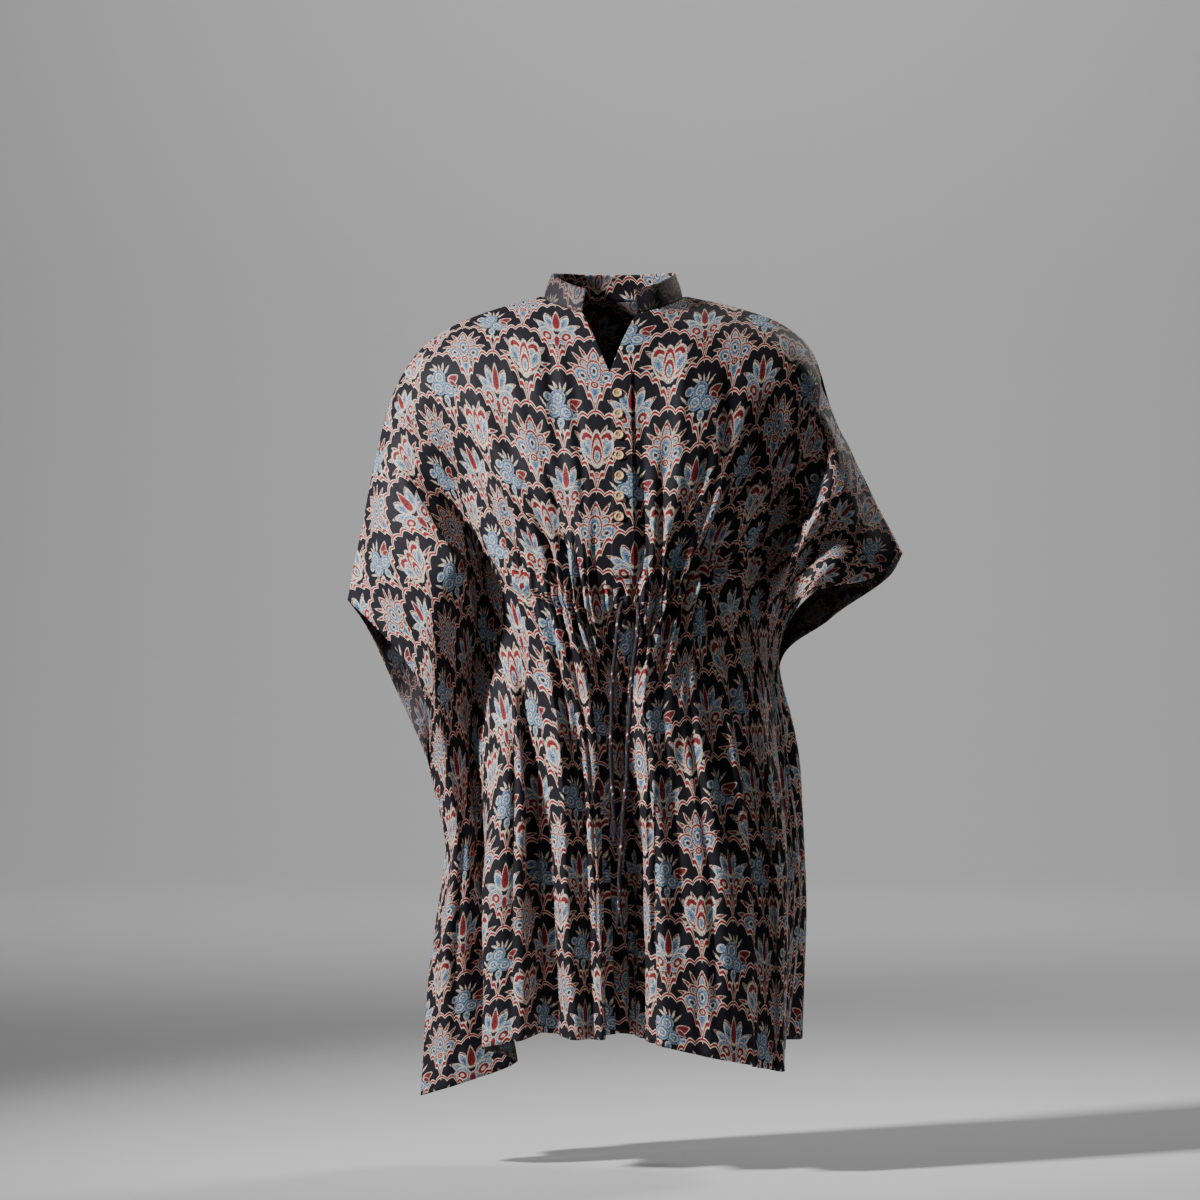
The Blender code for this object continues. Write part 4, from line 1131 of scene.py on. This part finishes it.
    def neckline(self, steps: int) -> tuple[Array, Array]:
        """Points round the neck, in mm, and how far each is from the front, 0 to 1."""
        half = CUT.neck_half
        quarter, most = steps // 4, steps // 2
        runs = (
            (np.linspace(CUT.slit_u - CUT.slit_half, -half, quarter + 1)[:-1], Side.FRONT),
            (np.linspace(-half, half, most + 1), Side.BACK),
            (np.linspace(half, CUT.slit_u + CUT.slit_half, quarter + 1)[1:], Side.FRONT),
        )
        found = []
        for line, side in runs:
            u = line[:, None]
            drape = self.drapes[side]
            found.append(drape.base(u, drape.top_w(u))[:, 0])
        points = np.concatenate(found)
        length = np.concatenate([[0], np.cumsum(np.linalg.norm(np.diff(points, axis=0), axis=1))])
        share = length / length[-1]
        return points, 1 - np.abs(2 * share - 1)

    def collar(self) -> bpy.types.Object:
        """The stand collar, with stitches near its top edge and at its foot."""
        foot, back_share = self.neckline(160)
        for _ in range(40):
            foot[1:-1] = (foot[:-2] + 2 * foot[1:-1] + foot[2:]) / 4
        away = foot * (1, 1, 0)
        away /= np.linalg.norm(away, axis=1, keepdims=True)
        rise = 29 + 2 * eased(back_share)
        rows = np.linspace(0, 1, 13)
        base = foot + (0, 0, 0.4)
        ripple = 0.35 * np.sin(np.linspace(0, 57, len(foot)))[:, None] * np.sin(3.1 * rows)
        points = (
            base[:, None]
            + rows[None, :, None] * rise[:, None, None] * np.array([0, 0, 1.0])
            - ((rows**1.5)[None, :, None] * 9 - ripple[..., None] - 0.8) * away[:, None]
        ) * MM
        length = np.concatenate([[0], np.cumsum(np.linalg.norm(np.diff(foot, axis=0), axis=1))])
        uv = np.empty(points.shape[:2] + (2,))
        uv[..., 0] = (length - length[-1] / 2)[:, None] + 340
        uv[..., 1] = 40 - rows[None, :] * rise[:, None]
        obj = grid_object("collar_cloth", points, uv, True,
                          self.finishes.face, self.finishes.inside)
        thicken(obj, 1.6, inside_slot=1)
        out = np.repeat(away[:, None], len(rows), axis=1)
        for row in (1, len(rows) - 2):
            self.dark.row(points[:, row] + out[:, row] * 0.85 * MM, out[:, row])
        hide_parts("collar")
        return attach(obj, "root")

    def buttons(self) -> list[bpy.types.Object]:
        """Turned wooden buttons with four holes, a sunk middle and a crossed thread."""
        shape = Button().mesh()
        made = []
        drape = self.drapes[Side.FRONT]
        middle = Button.PLACE_U
        for k in range(Button.COUNT):
            w = Button.FIRST_W + k * Button.PITCH_W
            u, d = np.meshgrid([middle - 8, middle, middle + 8], [w - 10, w, w + 10],
                               indexing="ij")
            face = drape.points(u, d, fine=False)
            out = drape.normals(face)[1, 1]
            centre = face[1, 1] + out * (CUT.wall / 2 + 2 * CUT.seam_gap + 1.2 + Button.LIFT) * MM
            up = Vector((0, 0, 1))
            z = Vector(out)
            x = up.cross(z).normalized()
            y = z.cross(x)
            turn = Matrix((x, y, z)).transposed().to_4x4() @ Matrix.Rotation(0.3 * k + 0.7, 4, "Z")
            place = Matrix.Translation(Vector(centre)) @ turn
            mesh = shape.copy()
            mesh.transform(place)
            obj = smooth_object(f"button_shown_{k + 1}", mesh)
            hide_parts(f"button_{k + 1}")
            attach(obj, "root")
            made.append(obj)
        bpy.data.meshes.remove(shape)
        return made


class Button:
    """One button about the origin, facing +Z, with its back at z = 0. Sizes in mm."""

    COUNT = 7
    PLACE_U = 5.0
    FIRST_W = 128
    PITCH_W = 24.4
    LIFT = 0.5
    SIDES = 40
    HOLE = 0.62
    HOLE_OUT = 1.35

    def mesh(self) -> bpy.types.Mesh:
        """The button with its thread, as one mesh with two materials."""
        profile = ((0, 0), (0, 4.7), (0.5, 5.5), (1.1, 5.75), (1.8, 5.55), (2.2, 4.9),
                   (2.15, 4.3), (1.6, 3.6), (1.35, 2.8), (1.35, 0))
        bm = bmesh.new()
        rings = []
        sides = self.SIDES
        for z, r in profile:
            if r == 0:
                rings.append([bm.verts.new((0, 0, z * MM))])
                continue
            angles = [2 * math.pi * k / sides for k in range(sides)]
            rings.append([bm.verts.new((r * MM * math.cos(a), r * MM * math.sin(a), z * MM))
                          for a in angles])
        for low, high in zip(rings[:-1], rings[1:]):
            for k in range(sides):
                j = (k + 1) % sides
                corners = [low[k % len(low)], low[j % len(low)],
                           high[j % len(high)], high[k % len(high)]]
                unique = list(dict.fromkeys(corners))
                bm.faces.new(unique)
        bmesh.ops.recalc_face_normals(bm, faces=bm.faces)
        body = bpy.data.meshes.new("button_body")
        bm.to_mesh(body)
        bm.free()
        disc = bpy.data.objects.new("button_disc", body)
        bpy.context.scene.collection.objects.link(disc)
        cutters = []
        for k in range(4):
            a = math.pi / 4 + k * math.pi / 2
            place = (self.HOLE_OUT * MM * math.cos(a), self.HOLE_OUT * MM * math.sin(a), 0)
            bpy.ops.mesh.primitive_cylinder_add(vertices=12, radius=self.HOLE * MM,
                                                depth=8 * MM, location=place)
            cutter = bpy.context.object
            modifier = disc.modifiers.new(f"hole_{k}", "BOOLEAN")
            modifier.object = cutter
            modifier.solver = "EXACT"
            cutters.append(cutter)
        graph = bpy.context.evaluated_depsgraph_get()
        found = bpy.data.meshes.new_from_object(disc.evaluated_get(graph))
        found.materials.clear()
        bpy.data.objects.remove(disc)
        for cutter in cutters:
            bpy.data.objects.remove(cutter)
        return self.threaded(found)

    def threaded(self, body: bpy.types.Mesh) -> bpy.types.Mesh:
        """The drilled button with its crossed thread added."""
        bm = bmesh.new()
        bm.from_mesh(body)
        for face in bm.faces:
            face.material_index = 0
        for k in range(2):
            a = math.pi / 4 + k * math.pi / 2
            for off in (-0.22, 0.22):
                before = len(bm.faces)
                made = bmesh.ops.create_cone(
                    bm, cap_ends=True, segments=6, radius1=0.2 * MM, radius2=0.2 * MM,
                    depth=2 * self.HOLE_OUT * MM,
                )
                turn = Matrix.Rotation(a, 4, "Z") @ Matrix.Rotation(math.pi / 2, 4, "Y")
                place = Matrix.Translation((-math.sin(a) * off * MM, math.cos(a) * off * MM,
                                            (1.55 + 0.1 * k) * MM))
                bmesh.ops.transform(bm, matrix=place @ turn, verts=made["verts"])
                bm.faces.ensure_lookup_table()
                for face in bm.faces[before:]:
                    face.material_index = 1
        mesh = bpy.data.meshes.new("button")
        bm.to_mesh(mesh)
        bm.free()
        return mesh


class Tie(NamedTuple):
    """One drawstring end and the points, in mm, that it hangs through."""

    name: str
    route: tuple[tuple[float, float, float], ...]


TIES = (
    Tie("tie_right", ((8, -150, -374), (5, -153, -392), (1, -150, -440), (-3, -144, -520),
                      (-4, -141, -585), (0, -140, -628))),
    Tie("tie_left", ((27, -150, -376), (28, -154, -394), (24, -152, -445), (16, -148, -540),
                     (10, -145, -640), (6, -143, -735))),
)


@dataclass(frozen=True)
class TieSizes:
    """Sizes of the ties, in millimetres."""

    radius: float = 2.6
    tip_length: float = 25
    tip_width: float = 4.6


class Ties:
    """The two drawstring ends, their leaf-shaped tips and the slots they come out of."""

    SIZES = TieSizes()

    def __init__(self, finishes: Finishes, drape: Drape) -> None:
        self.finishes = finishes
        self.drape = drape

    def line(self, tie: Tie) -> Array:
        """The tie's centreline, in metres, from the cloth to its tip."""
        u = float(tie.route[0][0])
        grid_u, grid_w = np.meshgrid([u - 3, u, u + 3], [CUT.casing_w - 5, CUT.casing_w - 2,
                                                         CUT.casing_w + 1], indexing="ij")
        face = self.drape.points(grid_u, grid_w)[1, 1] / MM
        start = face + np.array([0.0, -CUT.wall / 2 - 0.2, 0.0])
        route = np.array([start, *tie.route[1:]], float)
        length = np.concatenate([[0], np.cumsum(np.linalg.norm(np.diff(route, axis=0), axis=1))])
        at = np.linspace(0, length[-1], max(40, round(length[-1] / 6)))
        line = through(at, length, route)
        sway = eased(at / 60) * eased((length[-1] - at) / 40)
        line[:, 0] += sway * (1.1 * np.sin(at / 37 + u) + 0.5 * np.sin(at / 13 + 2 * u))
        line[:, 1] += sway * 0.9 * np.sin(at / 29 + 1.3 * u)
        return line * MM

    def cord(self, tie: Tie) -> tuple[bpy.types.Object, Array]:
        """One tie, as a soft tube of folded cloth."""
        line = self.line(tie)
        curve = bpy.data.curves.new(tie.name + "_cloth", "CURVE")
        curve.dimensions = "3D"
        curve.bevel_depth = self.SIZES.radius * MM
        curve.bevel_resolution = 4
        curve.use_fill_caps = True
        spline = curve.splines.new("POLY")
        spline.points.add(len(line) - 1)
        spline.points.foreach_set("co", np.c_[line, np.ones(len(line))].reshape(-1))
        spline.use_smooth = True
        obj = bpy.data.objects.new(tie.name + "_cloth", curve)
        bpy.context.scene.collection.objects.link(obj)
        curve.materials.append(self.finishes.cord)
        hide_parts(tie.name)
        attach(obj, "root")
        return obj, line

    def tip(self, tie: Tie, end: Array, leaves: int) -> bpy.types.Object:
        """The tie's end: a turned knot and one or two leaves of folded cloth."""
        bm = bmesh.new()
        size = self.SIZES
        for k in range(leaves):
            lean = 0.0 if leaves == 1 else (-0.16, 0.2)[k]
            rows = []
            for t in np.linspace(0, 1, 15):
                half = size.tip_width * (0.35 + 0.65 * math.sin(math.pi * min(1, t * 1.05)) ** 0.7)
                half *= (1 - 0.8 * t**3) * (1.0 if leaves == 1 else 0.6)
                x = lean * size.tip_length * t * (1.0 if k else -1.0) * (1 if lean > 0 else -1)
                ring = []
                for a in np.linspace(0, 2 * math.pi, 17)[:-1]:
                    y = 1.7 * math.sin(a) * (1 - 0.7 * t)
                    fold = 0.5 * math.cos(3 * a) * (1 - t)
                    place = ((x + half * math.cos(a)) * MM, (y + fold) * MM,
                             -(1.2 + t * size.tip_length) * MM)
                    ring.append(bm.verts.new(place))
                rows.append(ring)
            for low, high in zip(rows[:-1], rows[1:]):
                for a in range(16):
                    b = (a + 1) % 16
                    bm.faces.new((low[a], high[a], high[b], low[b]))
            bm.faces.new(rows[0])
            bm.faces.new(rows[-1][::-1])
        bmesh.ops.recalc_face_normals(bm, faces=bm.faces)
        bmesh.ops.create_uvsphere(bm, u_segments=20, v_segments=12, radius=3.3 * MM,
                                  matrix=Matrix.Diagonal((1, 1, 0.8, 1)))
        mesh = bpy.data.meshes.new(tie.name + "_leaf")
        bm.to_mesh(mesh)
        bm.free()
        mesh.transform(Matrix.Translation(Vector(end)))
        obj = smooth_object(tie.name + "_leaf", mesh, self.finishes.cord)
        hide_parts(tie.name + "_tip")
        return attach(obj, "root")

    def slot_ring(self, tie: Tie, start: Array) -> bpy.types.Object:
        """The worked slot in the casing that the tie comes out of."""
        mesh = bpy.data.meshes.new(tie.name + "_slot")
        bm = bmesh.new()
        rings = []
        for a in np.linspace(0, 2 * math.pi, 29)[:-1]:
            centre = np.array([4.0 * math.cos(a), 0, 5.2 * math.sin(a)])
            out = np.array([math.cos(a), 0, math.sin(a)])
            ring = []
            for b in np.linspace(0, 2 * math.pi, 9)[:-1]:
                p = centre + (out * math.cos(b) + np.array([0, 1.0, 0]) * math.sin(b)) * 0.8
                ring.append(bm.verts.new(tuple(start + p * MM)))
            rings.append(ring)
        for k in range(len(rings)):
            low, high = rings[k], rings[(k + 1) % len(rings)]
            for b in range(8):
                c = (b + 1) % 8
                bm.faces.new((low[b], low[c], high[c], high[b]))
        bmesh.ops.recalc_face_normals(bm, faces=bm.faces)
        bm.to_mesh(mesh)
        bm.free()
        obj = smooth_object(tie.name + "_slot", mesh, self.finishes.thread)
        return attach(obj, "root")

    def build(self) -> None:
        for tie, leaves in zip(TIES, (1, 2)):
            cord, line = self.cord(tie)
            tip = self.tip(tie, line[-1] + np.array([0, 0, -2.4 * MM]), leaves)
            self.slot_ring(tie, line[0])


class Lamp(NamedTuple):
    """One area light: where it is and what it faces, in metres, and how far it fans out."""

    name: str
    place: tuple[float, float, float]
    target: tuple[float, float, float]
    size: float
    watts: float
    fan: float = 180


class Studio:
    """A plain pale room, soft lights and a level camera before the garment."""

    FLOOR_Z = -1.06
    CAMERA = (-0.0168, -5.47, -0.372)
    LENS = 135
    AMBIENT = 0.03
    SEEN = (0.42, 0.42, 0.42)
    MIDDLE = (0, 0, -0.45)
    LAMPS = (
        Lamp("key", (-2.9, -1.45, 1.5), MIDDLE, 0.3, 17, 42),
        Lamp("fill", (1.8, -3.2, 0.8), MIDDLE, 1.4, 5),
        Lamp("rim", (2.2, 2.4, 1.7), MIDDLE, 1.0, 9, 60),
        Lamp("back", (0.4, 3.4, 3.0), (0, 6.8, -0.2), 2.2, 130),
    )
    FLOOR_FRONT = -2.8
    CURVE_START = 5.6
    CURVE = 1.6
    WALL_TOP = 8.0
    HALF_WIDTH = 3.4

    def __init__(self, finishes: Finishes) -> None:
        self.finishes = finishes

    @staticmethod
    def light(lamp: Lamp) -> bpy.types.Object:
        data = bpy.data.lights.new(lamp.name, "AREA")
        data.size = lamp.size
        data.energy = lamp.watts
        data.spread = math.radians(lamp.fan)
        obj = bpy.data.objects.new(lamp.name, data)
        bpy.context.scene.collection.objects.link(obj)
        obj.location = lamp.place
        facing = Vector(lamp.target) - Vector(lamp.place)
        obj.rotation_euler = facing.to_track_quat("-Z", "Y").to_euler()
        return obj

    def backdrop(self) -> bpy.types.Object:
        """A floor that curves up into a wall behind the garment."""
        profile = [(self.FLOOR_FRONT, 0.0), (self.CURVE_START, 0.0)]
        for k in range(1, 13):
            a = k / 12 * math.pi / 2
            out, up = self.CURVE * math.sin(a), self.CURVE * (1 - math.cos(a))
            profile.append((self.CURVE_START + out, up))
        profile.append((self.CURVE_START + self.CURVE, self.WALL_TOP))
        mesh = bpy.data.meshes.new("backdrop")
        sides = (-self.HALF_WIDTH, self.HALF_WIDTH)
        points = [(x, y, z + self.FLOOR_Z) for y, z in profile for x in sides]
        faces = [(2 * k, 2 * k + 1, 2 * k + 3, 2 * k + 2) for k in range(len(profile) - 1)]
        mesh.from_pydata(points, [], faces)
        return smooth_object("backdrop", mesh, self.finishes.floor)

    def world(self) -> None:
        """Even, weak light from all round. The camera sees it as a pale grey."""
        world = bpy.data.worlds.new("studio")
        world.use_nodes = True
        tree = world.node_tree
        background = tree.nodes["Background"]
        background.inputs["Color"].default_value = (1.0, 1.0, 1.0, 1)
        background.inputs["Strength"].default_value = self.AMBIENT
        seen = tree.nodes.new("ShaderNodeBackground")
        seen.inputs["Color"].default_value = (*self.SEEN, 1)
        path = tree.nodes.new("ShaderNodeLightPath")
        mix = tree.nodes.new("ShaderNodeMixShader")
        tree.links.new(path.outputs["Is Camera Ray"], mix.inputs["Fac"])
        tree.links.new(background.outputs[0], mix.inputs[1])
        tree.links.new(seen.outputs[0], mix.inputs[2])
        tree.links.new(mix.outputs[0], tree.nodes["World Output"].inputs["Surface"])
        bpy.context.scene.world = world

    def build(self) -> None:
        """The world, the lights, the floor and the camera."""
        self.world()
        lamps = [self.light(lamp) for lamp in self.LAMPS]
        data = bpy.data.cameras.new("camera")
        data.lens = self.LENS
        camera = bpy.data.objects.new("camera", data)
        bpy.context.scene.collection.objects.link(camera)
        camera.location = self.CAMERA
        camera.rotation_euler = (math.pi / 2, 0, 0)
        bpy.context.scene.camera = camera
        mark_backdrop(self.backdrop(), *lamps)


def log_bounds(low: Vector, high: Vector) -> None:
    """Logs the shown object's size, in metres."""
    log.info("bounds %s to %s", [round(v, 4) for v in low], [round(v, 4) for v in high])


def main() -> None:
    """Builds the whole scene."""
    logging.basicConfig(level=logging.INFO, format="%(name)s: %(message)s")
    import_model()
    finishes = Finishes()
    garment = Garment(finishes)
    for side in Side:
        garment.panel(side)
    garment.placket()
    garment.collar()
    for button in garment.buttons():
        button.data.materials.append(finishes.wood)
        button.data.materials.append(finishes.light_thread)
    Ties(finishes, garment.drapes[Side.FRONT]).build()
    stitches = garment.dark.build("stitches", finishes.thread)
    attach(stitches, "root")
    Studio(finishes).build()
    low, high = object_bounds()
    log_bounds(low, high)


if __name__ == "__main__":
    main()
